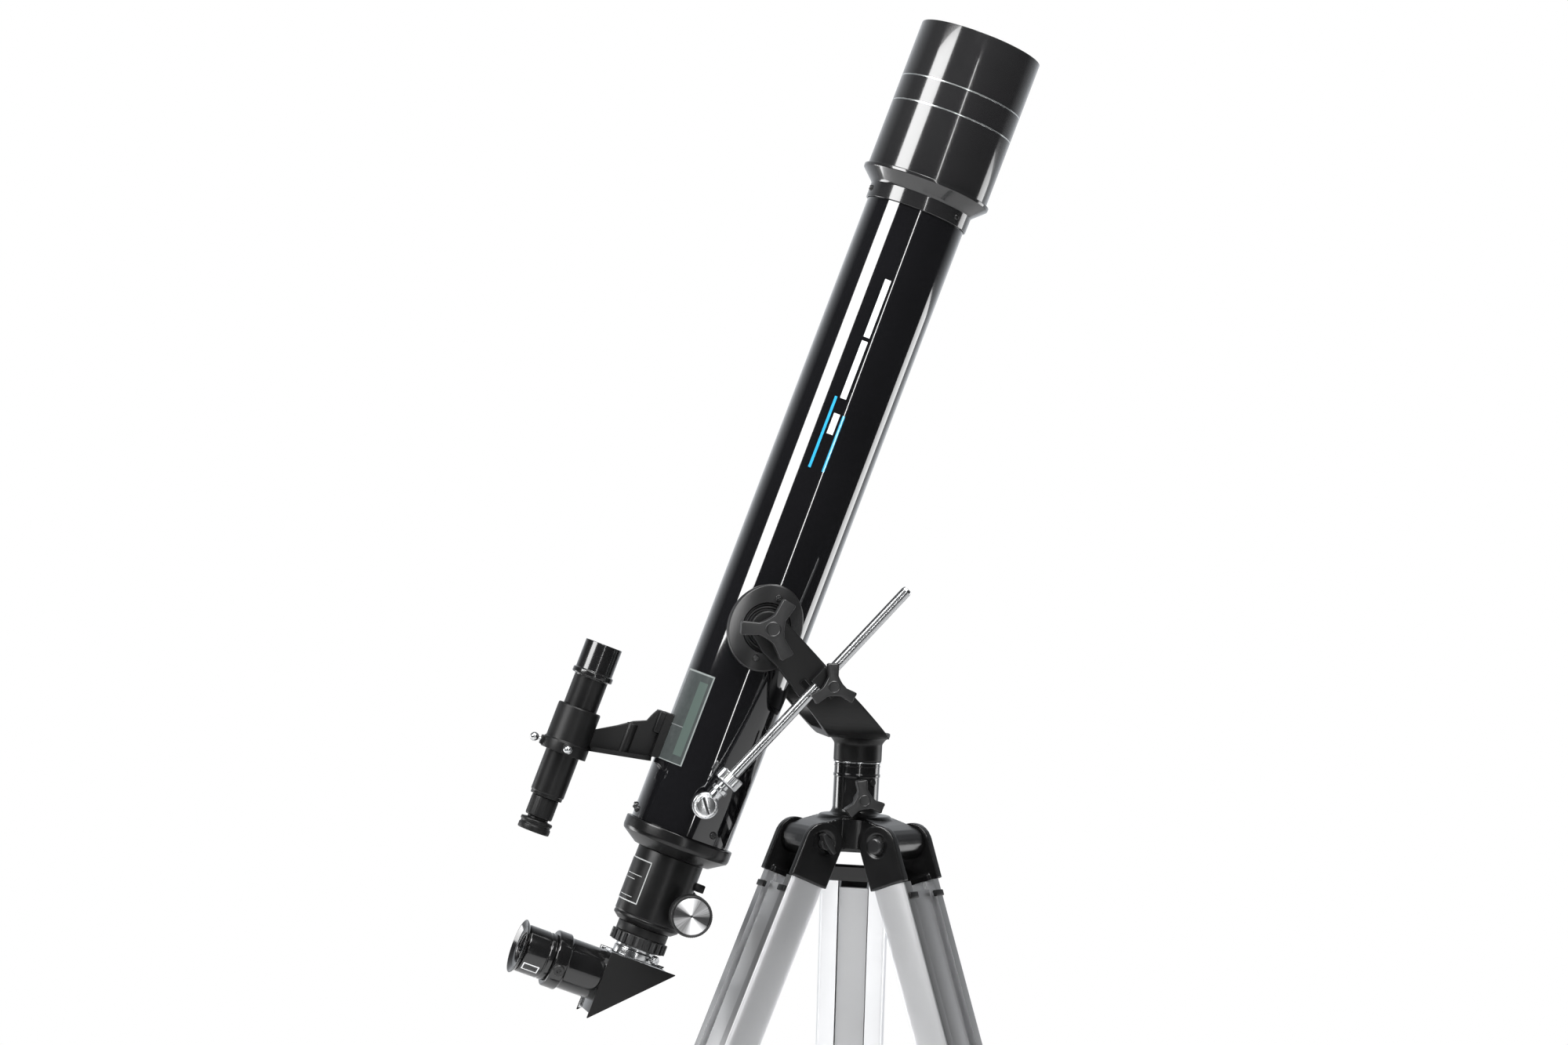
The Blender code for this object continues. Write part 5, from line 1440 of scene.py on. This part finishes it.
# %% Sharp shapes for the cutting work
def ring_of_points(radius, steps):
    """A round hole or disc, as an outline."""
    turns = [math.tau * i / steps for i in range(steps)]
    return [(radius * math.cos(a), radius * math.sin(a)) for a in turns]


def plain_prism(outline, low, high, matrix=Matrix.Identity(4)):
    """A sharp extrusion, for work that is remeshed or cut afterwards."""
    shape = bmesh.new()
    rows = [[shape.verts.new((x, y, z)) for x, y in outline] for z in (low, high)]
    count = len(outline)
    for index in range(count):
        after = (index + 1) % count
        shape.faces.new((rows[0][index], rows[0][after], rows[1][after], rows[1][index]))
    shape.faces.new(rows[0][::-1])
    shape.faces.new(rows[1])
    bmesh.ops.transform(shape, matrix=matrix, verts=shape.verts)
    bmesh.ops.recalc_face_normals(shape, faces=shape.faces)
    return shape


print("prisms can be cut")

# %% What two shapes share
def intersected(first, second):
    """The part two closed shapes share."""
    objects = []
    for shape in (first, second):
        mesh = bpy.data.meshes.new("half")
        shape.to_mesh(mesh)
        shape.free()
        made = bpy.data.objects.new("half", mesh)
        bpy.context.scene.collection.objects.link(made)
        objects.append(made)
    modifier = objects[0].modifiers.new("share", "BOOLEAN")
    modifier.operation = "INTERSECT"
    modifier.object = objects[1]
    modifier.solver = "EXACT"
    bpy.context.view_layer.update()
    mesh = bpy.data.meshes.new_from_object(objects[0].evaluated_get(bpy.context.evaluated_depsgraph_get()))
    for made in objects:
        bpy.data.objects.remove(made)
    shape = bmesh.new()
    shape.from_mesh(mesh)
    bpy.data.meshes.remove(mesh)
    return shape


print("shapes can be intersected")

# %% The fork from its two outlines
FRONT_TURN = Matrix(((0, 0, 1, 0), (1, 0, 0, 0), (0, 1, 0, 0), (0, 0, 0, 1)))
band = intersected(
    plain_prism(arm_outline(), -0.054, 0.054, side_view()),
    plain_prism(band_outline(), -0.03, 0.11, FRONT_TURN),
)
base_level = 0.1567 - 0.079 - 0.0585
neck = turned(
    [
        (0, base_level + 0.0035),
        (0.0235, base_level + 0.0035),
        (0.0235, base_level + 0.0004),
        (0.0205, base_level - 0.0016),
        (0.0180, base_level - 0.0050),
        (0.0180, 0.0008),
        (0, 0.0008),
    ],
    0.0006,
    96,
)
turn_shape(neck, Matrix.Translation((OFFSET, 0, -RISE_TO_COLUMN)))
pivot_hole = plain_prism(ring_of_points(0.0044, 24), -0.06, 0.06, side_view())
slot_turn = Matrix.Rotation(math.radians(-47), 4, "Z")
slot_outline = [(slot_turn @ Vector((x, z, 0))).xy + Vector((0.0315, -0.0420)) for x, z in
                ((-0.0065, -0.0022), (0.0065, -0.0022), (0.0065, 0.0022), (-0.0065, 0.0022))]
arm_slot = plain_prism(slot_outline, 0.04, 0.055, side_view())
fork_skin = blended("fork", [band, neck], [pivot_hole, arm_slot], 0.0008, 3)
make("fork_casting", fork_skin, SATIN_BLACK, FORK, "fork", smooth=70)
spindle = drum(0.012, -0.040, 0.002, 0.0004, 64)
make("fork_spindle", spindle, CHROME, Matrix.Translation(point_of("azimuth_turn")), body="fork")
washer = sleeve(0.0178, 0.0124, 0.0001, 0.0009, 0.0002, 96)
make("bearing_washer", washer, CHROME, Matrix.Translation(point_of("azimuth_turn")), body="fork")

# %% [markdown]
# ## Wing knobs
# All the hand knobs are one moulding in two sizes: three lobes from a round hub with a disc in the
# middle. The outline walks round the three lobes; each tip is slightly hollow, as on the real ones.
# %% Wing knobs
def lobed(reach, width, first, hollow=0.0006):
    """Three arms with rounded, slightly hollow tips, joined by smooth valleys."""
    points = []
    for lobe in range(3):
        turn = first + math.tau * lobe / 3
        across = Vector((-math.sin(turn), math.cos(turn)))
        out = Vector((math.cos(turn), math.sin(turn)))
        half = width / 2
        tip = []
        for step in range(13):
            swing = -math.pi / 2 + math.pi * step / 12
            bulge = half * 0.42 * math.cos(swing) ** 0.7 if abs(swing) < math.pi / 2 - 1e-6 else 0.0
            dent = hollow * math.cos(swing * 2) if abs(swing) < math.pi / 4 else 0.0
            tip.append(out * (reach - half * 0.42 + bulge - dent) + across * half * math.sin(swing))
        points += tip
        next_turn = first + math.tau * (lobe + 1) / 3
        next_out = Vector((math.cos(next_turn), math.sin(next_turn)))
        next_across = Vector((-math.sin(next_turn), math.cos(next_turn)))
        start = out * width * 0.95 + across * half * 0.86
        end = next_out * width * 0.95 - next_across * half * 0.86
        middle = (out + next_out).normalized() * width * 0.74
        for step in range(7):
            t = step / 6
            points.append(start * (1 - t) ** 2 + middle * 2 * t * (1 - t) + end * t * t)
    return points


print("lobed outline ready")

# %% One knob, and the four that are made from it
def wing_knob(shoulder, stand, thickness, reach, width, first):
    crown = shoulder + stand
    stem = width * 0.60
    neck = turned([(0, crown + 0.001), (stem, crown + 0.001), (stem * 0.9, crown - 0.002),
                   (stem * 0.9, shoulder + 0.0015), (stem, shoulder), (0, shoulder)], 0.0005, 48)
    wings = slab(lobed(reach, width, first), crown, crown + thickness, 0.0010, 4)
    disc = turned([(0, crown + thickness - 0.0010), (stem * 0.92, crown + thickness - 0.0010),
                   (stem * 0.92, crown + thickness + 0.0004), (stem * 0.78, crown + thickness + 0.0008),
                   (stem * 0.70, crown + thickness + 0.0003), (0, crown + thickness + 0.0002)], 0.0002, 48)
    return merged(neck, wings, disc)


for sign, tail in ((1, "near"), (-1, "far")):
    seat = facing(FORK, sign)
    knob = wing_knob(ARM_OUT + 0.0003, 0.0135, 0.0092, 0.024, 0.0105, math.radians(180))
    make(f"altitude_wing_{tail}", knob, KNOB_PLASTIC, seat, f"altitude_knob_{tail}", smooth=50)
    stud = drum(0.0039, 0.0394, ARM_OUT + 0.001, 0.0002, 32)
    make(f"altitude_stud_{tail}", stud, CHROME, seat, body=f"altitude_knob_{tail}")
    ring = sleeve(0.0088, 0.0041, 0.0436, 0.0449, 0.0003, 64)
    make(f"pivot_washer_{tail}", ring, SATIN_BLACK, seat, body="tube")
lock_seat = facing(Matrix.Translation(point_of("azimuth_knob_turn")), 1)
azimuth_knob = wing_knob(0.0173, 0.0135, 0.0092, 0.0158, 0.0082, math.radians(100))
make("azimuth_wing", azimuth_knob, KNOB_PLASTIC, lock_seat, "azimuth_lock_knob", smooth=50)
make("azimuth_stud", drum(0.0039, 0.0125, 0.0180, 0.0002, 32), CHROME, lock_seat, body="azimuth_knob")
clamp_seat = facing(Matrix.Translation(point_of("rod_knob_turn")), 1)
clamp_knob = wing_knob(0.0068, 0.0037, 0.0074, 0.0178, 0.0085, math.radians(94))
make("clamp_wing", clamp_knob, KNOB_PLASTIC, clamp_seat, "rod_clamp_knob", smooth=50)
make("clamp_stud", drum(0.0023, 0.0027, 0.0075, 0.0001, 24), CHROME, clamp_seat, body="rod_knob")
print("four wing knobs")

# %% [markdown]
# ## Steady rod
# A chrome rod steadies the tube. Its lower end is an eye on the tube's bolt, then a stepped neck and
# a knurled nut; its upper end passes a clamp block against the fork's near arm.
# %% Steady rod, fine nut and clamp block
neck_profile = [
    (0, 0.0072),
    (0.0046, 0.0072),
    (0.0046, 0.0135),
    (0.0062, 0.0140),
    (0.0062, 0.0170),
    (0.0048, 0.0175),
    (0.0048, 0.0208),
    (0.0040, 0.0212),
    (0.0040, 0.2150),
    (0.0034, 0.2170),
    (0, 0.2170),
]
eye = turn_shape(sleeve(0.00975, 0.0043, -0.0043, 0.0043, 0.0009, 64), side_view())
make("chrome_rod", merged(turned(neck_profile, 0.0003, 48), eye), CHROME, ROD, "steady_rod")
nut_low, nut_high = 0.0215, 0.0305
nut_rib = rib(nut_low + 0.0008, nut_high - 0.0008, 0.0009, 0.0005)
nut_ribs = round_circle("nut_knurl", nut_rib, 48, 0.0090, CHROME)
nut = [
    (0.0043, nut_low),
    (0.0086, nut_low),
    (0.0091, nut_low + 0.0006),
    (0.0091, nut_high - 0.0006),
    (0.0086, nut_high),
    (0.0043, nut_high),
]
make("knurled_nut", with_row(turned(nut, 0.0002, 64), nut_ribs), CHROME, ROD, "fine_adjust_nut")
CLAMP = placement(
    point_of("rod_knob_turn") - ROD.col[0].xyz * 0.007, ROD.col[0].xyz, ROD.col[1].xyz, ROD.col[2].xyz
)
clamp_block = blended(
    "clamp_block",
    [block((-0.0065, -0.0065, -0.0070), (0.0135, 0.0067, 0.0070), 0.0004)],
    [plain_prism(ring_of_points(0.0043, 32), -0.012, 0.012)],
    0.0003,
    4,
)
make("clamp_body", clamp_block, SATIN_BLACK, CLAMP, "rod_clamp_block", smooth=60)
print("rod is", round(0.217 * 1000), "mm long")

# %% [markdown]
# ## Tripod head
# The hub is a casting with three bosses; above it stands the hollow column. Each boss carries a leg
# bracket between its two ears, on a bolt with a wing nut.
# %% Hub and column
HINGE = 0.0377
LEG_TURNS = [math.radians(77.4) + math.tau * index / 3 for index in range(3)]
hub_parts = [
    turned(
        [(0, -0.007), (0.026, -0.007), (0.028, -0.005), (0.028, 0.0175), (0.0262, 0.0195), (0.0188, 0.0205),
         (0.0175, 0.0225), (0.0170, 0.024), (0.0170, 0.050), (0, 0.050)],
        0.0004,
        96,
    )
]
for turn in LEG_TURNS:
    boss_outline = [(0.006, -0.007), (HINGE + 0.006, -0.007)]
    for step in range(9):
        swing = math.radians(-80 + 160 * step / 8)
        boss_outline.append((HINGE + 0.0125 * math.cos(swing), 0.0005 + 0.0125 * math.sin(swing)))
    boss_outline += [(HINGE - 0.002, 0.0142), (0.022, 0.0178), (0.006, 0.0178)]
    boss = plain_prism(boss_outline, -0.0198, 0.0198, Matrix.Rotation(turn, 4, "Z") @ side_view())
    hub_parts.append(boss)
hub_skin = blended("hub", hub_parts, [], 0.0008, 3)
make("hub_casting", hub_skin, CELL_BLACK, HUB, "tripod_hub", smooth=70)
column_wall = [
    (0.0123, 0.021),
    (0.0170, 0.021),
    (0.0170, 0.0478),
    (0.0175, 0.0482),
    (0.0175, 0.0500),
    (0.0170, 0.0504),
    (0.0170, 0.0582),
    (0.0123, 0.0582),
]
make("column_tube", turned(column_wall, 0.0003, 96), GLOSS_PLASTIC, HUB, body="hub")
trim = sleeve(0.0173, 0.0126, 0.0556, 0.0566, 0.0002, 96)
make("column_trim_ring", trim, GLOSS_PLASTIC, HUB, body="hub")
dimple = facing(shifted(HUB, z=0.0445), 1) @ Matrix.Rotation(math.radians(35), 4, "Y")
make("column_button", drum(0.0026, 0.0160, 0.0182, 0.0005, 32), SATIN_BLACK, dimple, body="hub")

# %% [markdown]
# A leg bracket is one moulding: two rounded ears, a web behind them, and tongues that go down into
# the rails. The bolt's head and the wing nut sit in shallow round recesses in the ears.
# %% Leg brackets and hinge bolts
LEG_HALF, EAR_IN, EAR_OUT = 0.026, 0.0205, 0.027
RAIL_TOP = 0.031


def bracket_parts():
    back = 0.0275 / 2 + 0.0015
    ear = [(0.0154 * math.cos(math.pi * i / 16), 0.0154 * math.sin(math.pi * i / 16)) for i in range(17)]
    ear += [(-back, -RAIL_TOP + 0.0003), (back, -RAIL_TOP + 0.0003)]
    parts = [plain_prism(ear, EAR_IN, EAR_OUT, side_view()), plain_prism(ear, -EAR_OUT, -EAR_IN, side_view())]
    web = bmesh.new()
    middle = Matrix.Translation((-back + 0.00225, 0, (-RAIL_TOP + 0.0003 - 0.018) / 2))
    size = Matrix.Diagonal((0.0045, 2 * EAR_OUT - 0.002, 0.0127, 1))
    bmesh.ops.create_cube(web, size=1.0, matrix=middle @ size)
    parts.append(web)
    for side in (1, -1):
        tongue = bmesh.new()
        middle_y = side * 0.01965
        bmesh.ops.create_cube(tongue, size=1.0, matrix=Matrix.Translation((0, middle_y, -0.0430))
                              @ Matrix.Diagonal((0.0176, 0.0040, 0.0340, 1)))
        parts.append(tongue)
    cutters = [plain_prism(ring_of_points(0.0034, 24), -0.03, 0.03, side_view())]
    for side in (1, -1):
        low, high = sorted((side * (EAR_OUT - 0.0010), side * (EAR_OUT + 0.01)))
        cutters.append(plain_prism(ring_of_points(0.0088, 40), low, high, side_view()))
    return parts, cutters


print("bracket parts ready")

# %% Three brackets, bolts and wing nuts
for number, place in LEGS.items():
    parts, cutters = bracket_parts()
    skin = blended(f"bracket_{number}", parts, cutters, 0.0008, 3)
    make(f"bracket_casting_{number}", skin, CELL_BLACK, place, f"leg_bracket_{number}", smooth=70)
    seat = facing(place, 1)
    head = [(0, 0.0262), (0.0064, 0.0262), (0.0064, 0.0290), (0.0058, 0.0304), (0.0046, 0.0310), (0, 0.0310)]
    bolt = merged(drum(0.0030, -0.0340, 0.0275, 0.0002, 32), turned(head, 0.0003, 48))
    make(f"hinge_pin_{number}", bolt, DARK_STEEL, seat, f"hinge_bolt_{number}")
    wing = slab(
        [(-0.0085, 0.0012), (-0.0085, -0.0012), (-0.0035, -0.0022), (0.0035, -0.0022),
         (0.0085, -0.0012), (0.0085, 0.0012), (0.0035, 0.0022), (-0.0035, 0.0022)],
        -0.0360,
        -0.0285,
        0.0004,
    )
    nut = merged(drum(0.0047, -0.0322, -0.0262, 0.0006, 36), wing)
    make(f"wing_nut_{number}", turn_shape(nut, Matrix.Rotation(math.radians(35), 4, "Z")), KNOB_PLASTIC, seat,
         body=f"leg_{number}")
print("three brackets")

# %% [markdown]
# ## Legs
# Each leg is two drawn rails with a centre leg sliding between them. A drawn section is a flat outline
# pulled along its length: crowned and bright on the outside, flat in front, where a darker copy of the same
# aluminium is painted shade.
# %% Rails and centre legs
LEG_END = 0.570


def rail_section(side, inset=0.0):
    """The rail's D section, with a smooth crown on the outer side."""
    inner = 0.0225 / 2 + 0.00045 + inset
    step_in = inner + 0.0037
    half = 0.0275 / 2 - inset
    edge = LEG_HALF - 0.0025 - inset
    points = [(-half, inner), (half * 0.5, inner), (half * 0.5, step_in), (half, step_in),
              (half, edge - 0.0008)]
    for step in range(15):
        swing = math.pi * step / 14
        points.append((half * math.cos(swing) * 0.985, edge + 0.0025 * math.sin(swing) ** 0.8))
    points.append((-half, edge - 0.0008))
    return [(x, side * y) for x, y in points]


print("rail section ready")

# %% A hollow drawn section
def drawn(outline, inner, low, high):
    """A hollow section pulled from low to high, with its wrap map along the length."""
    shape = bmesh.new()
    wrap = shape.loops.layers.uv.new("Wrap")
    loops = ((outline, low), (outline, high), (inner, high), (inner, low))
    rows = [[shape.verts.new((x, y, level)) for x, y in loop] for loop, level in loops]
    lengths = [0.0]
    for before, after in zip(outline, outline[1:] + outline[:1]):
        lengths.append(lengths[-1] + (Vector(after) - Vector(before)).length)
    count = len(outline)
    for index in range(4):
        lower, upper = rows[index], rows[(index + 1) % 4]
        for step in range(count):
            after = (step + 1) % count
            face = shape.faces.new((lower[step], lower[after], upper[after], upper[step]))
            for loop, along in zip(face.loops, (step, step + 1, step + 1, step)):
                loop[wrap].uv = (lengths[along], loop.vert.co.z)
    bmesh.ops.recalc_face_normals(shape, faces=shape.faces)
    return shape


print("sections can be drawn")

# %% Rails, sliding legs and clips
def square(half_x, half_y, edge=0.0008):
    points = []
    for sx, sy in ((1, 1), (-1, 1), (-1, -1), (1, -1)):
        for step in range(4):
            swing = math.atan2(sy, sx) - math.pi / 4 + math.pi / 2 * step / 3
            centre_x, centre_y = sx * (half_x - edge), sy * (half_y - edge)
            points.append((centre_x + edge * math.cos(swing), centre_y + edge * math.sin(swing)))
    return points


def is_strip(point):
    """The flat front of a rail, which takes the darker copy of the aluminium as painted shade; not the thin
    wall of its step, which keeps the bright copy.
    """
    return point.x > 0 and (abs(point.y) < 0.0150 or 0.0160 < abs(point.y) < 0.0232)


for number, place in LEGS.items():
    inverse = place.inverted()
    for letter, side in (("a", 1), ("b", -1)):
        shape = drawn(rail_section(side), rail_section(side, 0.0013), -LEG_END, -RAIL_TOP)
        node = f"leg_rail_{number}{letter}"
        rail = make(f"rail_{number}{letter}", shape, RAIL_METAL, place, node, smooth=30)
        # the flat front faces get the darker copy of the aluminium: painted shade
        second_finish(rail, STRIP_SHADED_METAL, lambda c: is_strip(inverse @ c))
    shape = drawn(square(0.011, 0.01125), square(0.0097, 0.00995, 0.0004), -0.680, -0.038)
    make(f"sliding_leg_{number}", shape, INNER_METAL, place, f"centre_leg_{number}", smooth=30)
    clip = merged(
        block((0.0128, -0.0230, -0.0440), (0.0156, -0.0120, -0.0395), 0.0006),
        block((0.0128, 0.0120, -0.0440), (0.0156, 0.0230, -0.0395), 0.0006),
    )
    make(f"rail_clip_{number}", clip, SATIN_BLACK, place, body=f"leg_{number}")
print("six rails, three centre legs")

# %% [markdown]
# ## Collars, feet, spreader and tray
# These lower parts are moulded plastic. Their simple solids already have the right shape, so a copy of
# each is cleaned, its edges are bevelled, and the copy takes the solid's place.
# %% Softened copies of the plain mouldings
def softened(name, node, finish, width, segments=3, smooth=40):
    source = frame["nodes"][node].data
    shape = bmesh.new()
    shape.from_mesh(source)
    bmesh.ops.remove_doubles(shape, verts=shape.verts, dist=0.00001)
    bmesh.ops.dissolve_limit(shape, angle_limit=math.radians(1.0), verts=shape.verts, edges=shape.edges)
    mesh = bpy.data.meshes.new(name + "_copy")
    shape.to_mesh(mesh)
    shape.free()
    copy = bpy.data.objects.new(name + "_copy", mesh)
    bpy.context.scene.collection.objects.link(copy)
    bevel = copy.modifiers.new("edges", "BEVEL")
    bevel.width = width
    bevel.segments = segments
    bevel.limit_method = "ANGLE"
    bevel.angle_limit = math.radians(28)
    bpy.context.view_layer.update()
    result = bpy.data.meshes.new_from_object(copy.evaluated_get(bpy.context.evaluated_depsgraph_get()))
    bpy.data.objects.remove(copy)
    return make(name, result, finish, stands_for=node, smooth=smooth)


for number, place in LEGS.items():
    softened(f"collar_moulding_{number}", f"leg_collar_{number}", SATIN_BLACK, 0.0007)
    softened(f"rubber_boot_{number}", f"foot_{number}", RUBBER, 0.0010)
    softened(f"strut_bar_{number}", f"spreader_strut_{number}", SATIN_BLACK, 0.0005)
softened("tray_moulding", "accessory_tray", SATIN_BLACK, 0.0006)
print("shown pieces:", len(MADE))

# %% Leg lock knobs
for number, place in LEGS.items():
    outward, sideways, upward = (place.col[i].xyz for i in range(3))
    seat = placement(point_of(f"leg_{number}_knob_turn"), sideways, upward, outward)
    knob_low, knob_high = 0.01785, 0.03385
    profile = [(0, knob_high), (0.0098, knob_high), (0.0108, knob_high - 0.0020), (0.0108, knob_low + 0.0060),
               (0.0060, knob_low), (0.0030, knob_low), (0.0030, 0.0116), (0, 0.0116)]
    lobe = rib(knob_low + 0.0065, knob_high - 0.0016, 0.0030, 0.0014)
    lobes = round_circle(f"lock_lobes_{number}", lobe, 12, 0.0106, KNOB_PLASTIC)
    make(f"lock_knob_{number}", with_row(turned(profile, 0.0006, 64), lobes), KNOB_PLASTIC, seat,
         f"leg_lock_knob_{number}")
print("every solid now has its finished piece")

# %% [markdown]
# ## Studio
# The object stands on a pale floor in a white room. Gloss black only shows what it reflects, so tall
# narrow lamps draw the long highlights down the tube, and a wide soft one lights the bare metal.
# %% Floor and room
floor_mesh = bpy.data.meshes.new("studio_floor")
floor_shape = bmesh.new()
bmesh.ops.create_grid(floor_shape, x_segments=1, y_segments=1, size=2.2)
floor_shape.to_mesh(floor_mesh)
floor_shape.free()
floor_mesh.transform(Matrix.Translation((0, 0, -0.0005)))
FLOOR_PAINT = Finish("floor_paint", (0.82, 0.82, 0.82), 0.7)
floor_shade = FLOOR_PAINT.blend(FLOOR_PAINT.noise(1.2), (0.80, 0.80, 0.80), (0.84, 0.84, 0.84))
FLOOR_PAINT.set("Base Color", floor_shade)
floor_mesh.materials.append(FLOOR_PAINT.material)
floor = bpy.data.objects.new("studio_floor", floor_mesh)
bpy.context.scene.collection.objects.link(floor)
floor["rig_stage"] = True

VIEW = math.radians(8.6)
forward = Vector((math.sin(VIEW), math.cos(VIEW), 0))
rightward = Vector((math.cos(VIEW), -math.sin(VIEW), 0))
print("floor laid")

# %% The room
def room():
    """White to the camera; for reflections, bright behind the object and dark in front of it."""
    world = bpy.data.worlds.new("white_room")
    bpy.context.scene.world = world
    world.use_nodes = True
    tree = world.node_tree
    nodes, links = tree.nodes, tree.links
    shown = nodes["Background"]
    shown.inputs["Color"].default_value = (1, 1, 1, 1)
    shown.inputs["Strength"].default_value = 1.0
    lit = nodes.new("ShaderNodeBackground")
    lit.inputs["Color"].default_value = (0.93, 0.96, 1.0, 1)
    direction = nodes.new("ShaderNodeTexCoord")
    along = nodes.new("ShaderNodeVectorMath")
    along.operation = "DOT_PRODUCT"
    along.inputs[1].default_value = forward
    links.new(direction.outputs["Generated"], along.inputs[0])
    ramp = nodes.new("ShaderNodeMapRange")
    for socket, value in (("From Min", 0.25), ("From Max", 0.9), ("To Min", 0.05), ("To Max", 0.75)):
        ramp.inputs[socket].default_value = value
    links.new(along.outputs["Value"], ramp.inputs["Value"])
    links.new(ramp.outputs[0], lit.inputs["Strength"])
    rays = nodes.new("ShaderNodeLightPath")
    mix = nodes.new("ShaderNodeMixShader")
    links.new(rays.outputs["Is Camera Ray"], mix.inputs[0])
    links.new(lit.outputs[0], mix.inputs[1])
    links.new(shown.outputs[0], mix.inputs[2])
    links.new(mix.outputs[0], nodes["World Output"].inputs["Surface"])


room()
middle = Vector(TUBE.translation) + Vector((0, 0, 0.1))
print("room set, lamps aim at", [round(v, 3) for v in middle])

# %% Lamps
def softbox(name, side, rise, distance, width, height, power):
    """A rectangular lamp; side is degrees to the left of the viewing direction, as the camera sees it."""
    data = bpy.data.lights.new(name, "AREA")
    data.shape = "RECTANGLE"
    data.size = width
    data.size_y = height
    data.energy = power
    lamp = bpy.data.objects.new(name, data)
    bpy.context.scene.collection.objects.link(lamp)
    swing = math.radians(side)
    back = -forward * math.cos(swing) - rightward * math.sin(swing)
    spot = middle + distance * (back * math.cos(math.radians(rise)) + UP * math.sin(math.radians(rise)))
    aimed = (spot - middle).to_track_quat("Z", "Y").to_matrix().to_4x4()
    lamp.matrix_world = Matrix.Translation(spot) @ aimed
    return lamp


softbox("key", 54, 27, 2.2, 1.05, 1.15, 50)
softbox("front_top", -18, 46, 2.4, 1.1, 0.8, 60)
softbox("left_low", 112, -13, 2.3, 0.8, 1.2, 22)
softbox("right_low", -118, -16, 2.3, 0.8, 1.0, 9)
softbox("second_strip", -14, 2, 3.4, 0.07, 2.2, 9)
softbox("overhead", 20, 72, 2.4, 1.6, 1.6, 36)

# %% [markdown]
# The camera is a long lens on a level stand, turned a little about its own line of sight.
# %% Camera
ROLL = math.radians(2.89)
camera_data = bpy.data.cameras.new("studio_camera")
camera_data.sensor_width = 36.0
camera_data.lens = 90.66
camera = bpy.data.objects.new("studio_camera", camera_data)
bpy.context.scene.collection.objects.link(camera)
aim = Vector(TUBE.translation) + rightward * 0.0149 + UP * 0.0780
camera_x = rightward * math.cos(ROLL) + UP * math.sin(ROLL)
camera_y = UP * math.cos(ROLL) - rightward * math.sin(ROLL)
camera.matrix_world = placement(aim - forward * 2.94, camera_x, camera_y, -forward)
camera_data.clip_start = 0.05
bpy.context.scene.camera = camera

# %% Check the size and finish
new_low, new_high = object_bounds()
moved = [round(1000 * v, 2) for v in (*(new_low - cad_low), *(new_high - cad_high))]
print("pieces made:", len(MADE), "size moved by mm:", moved)
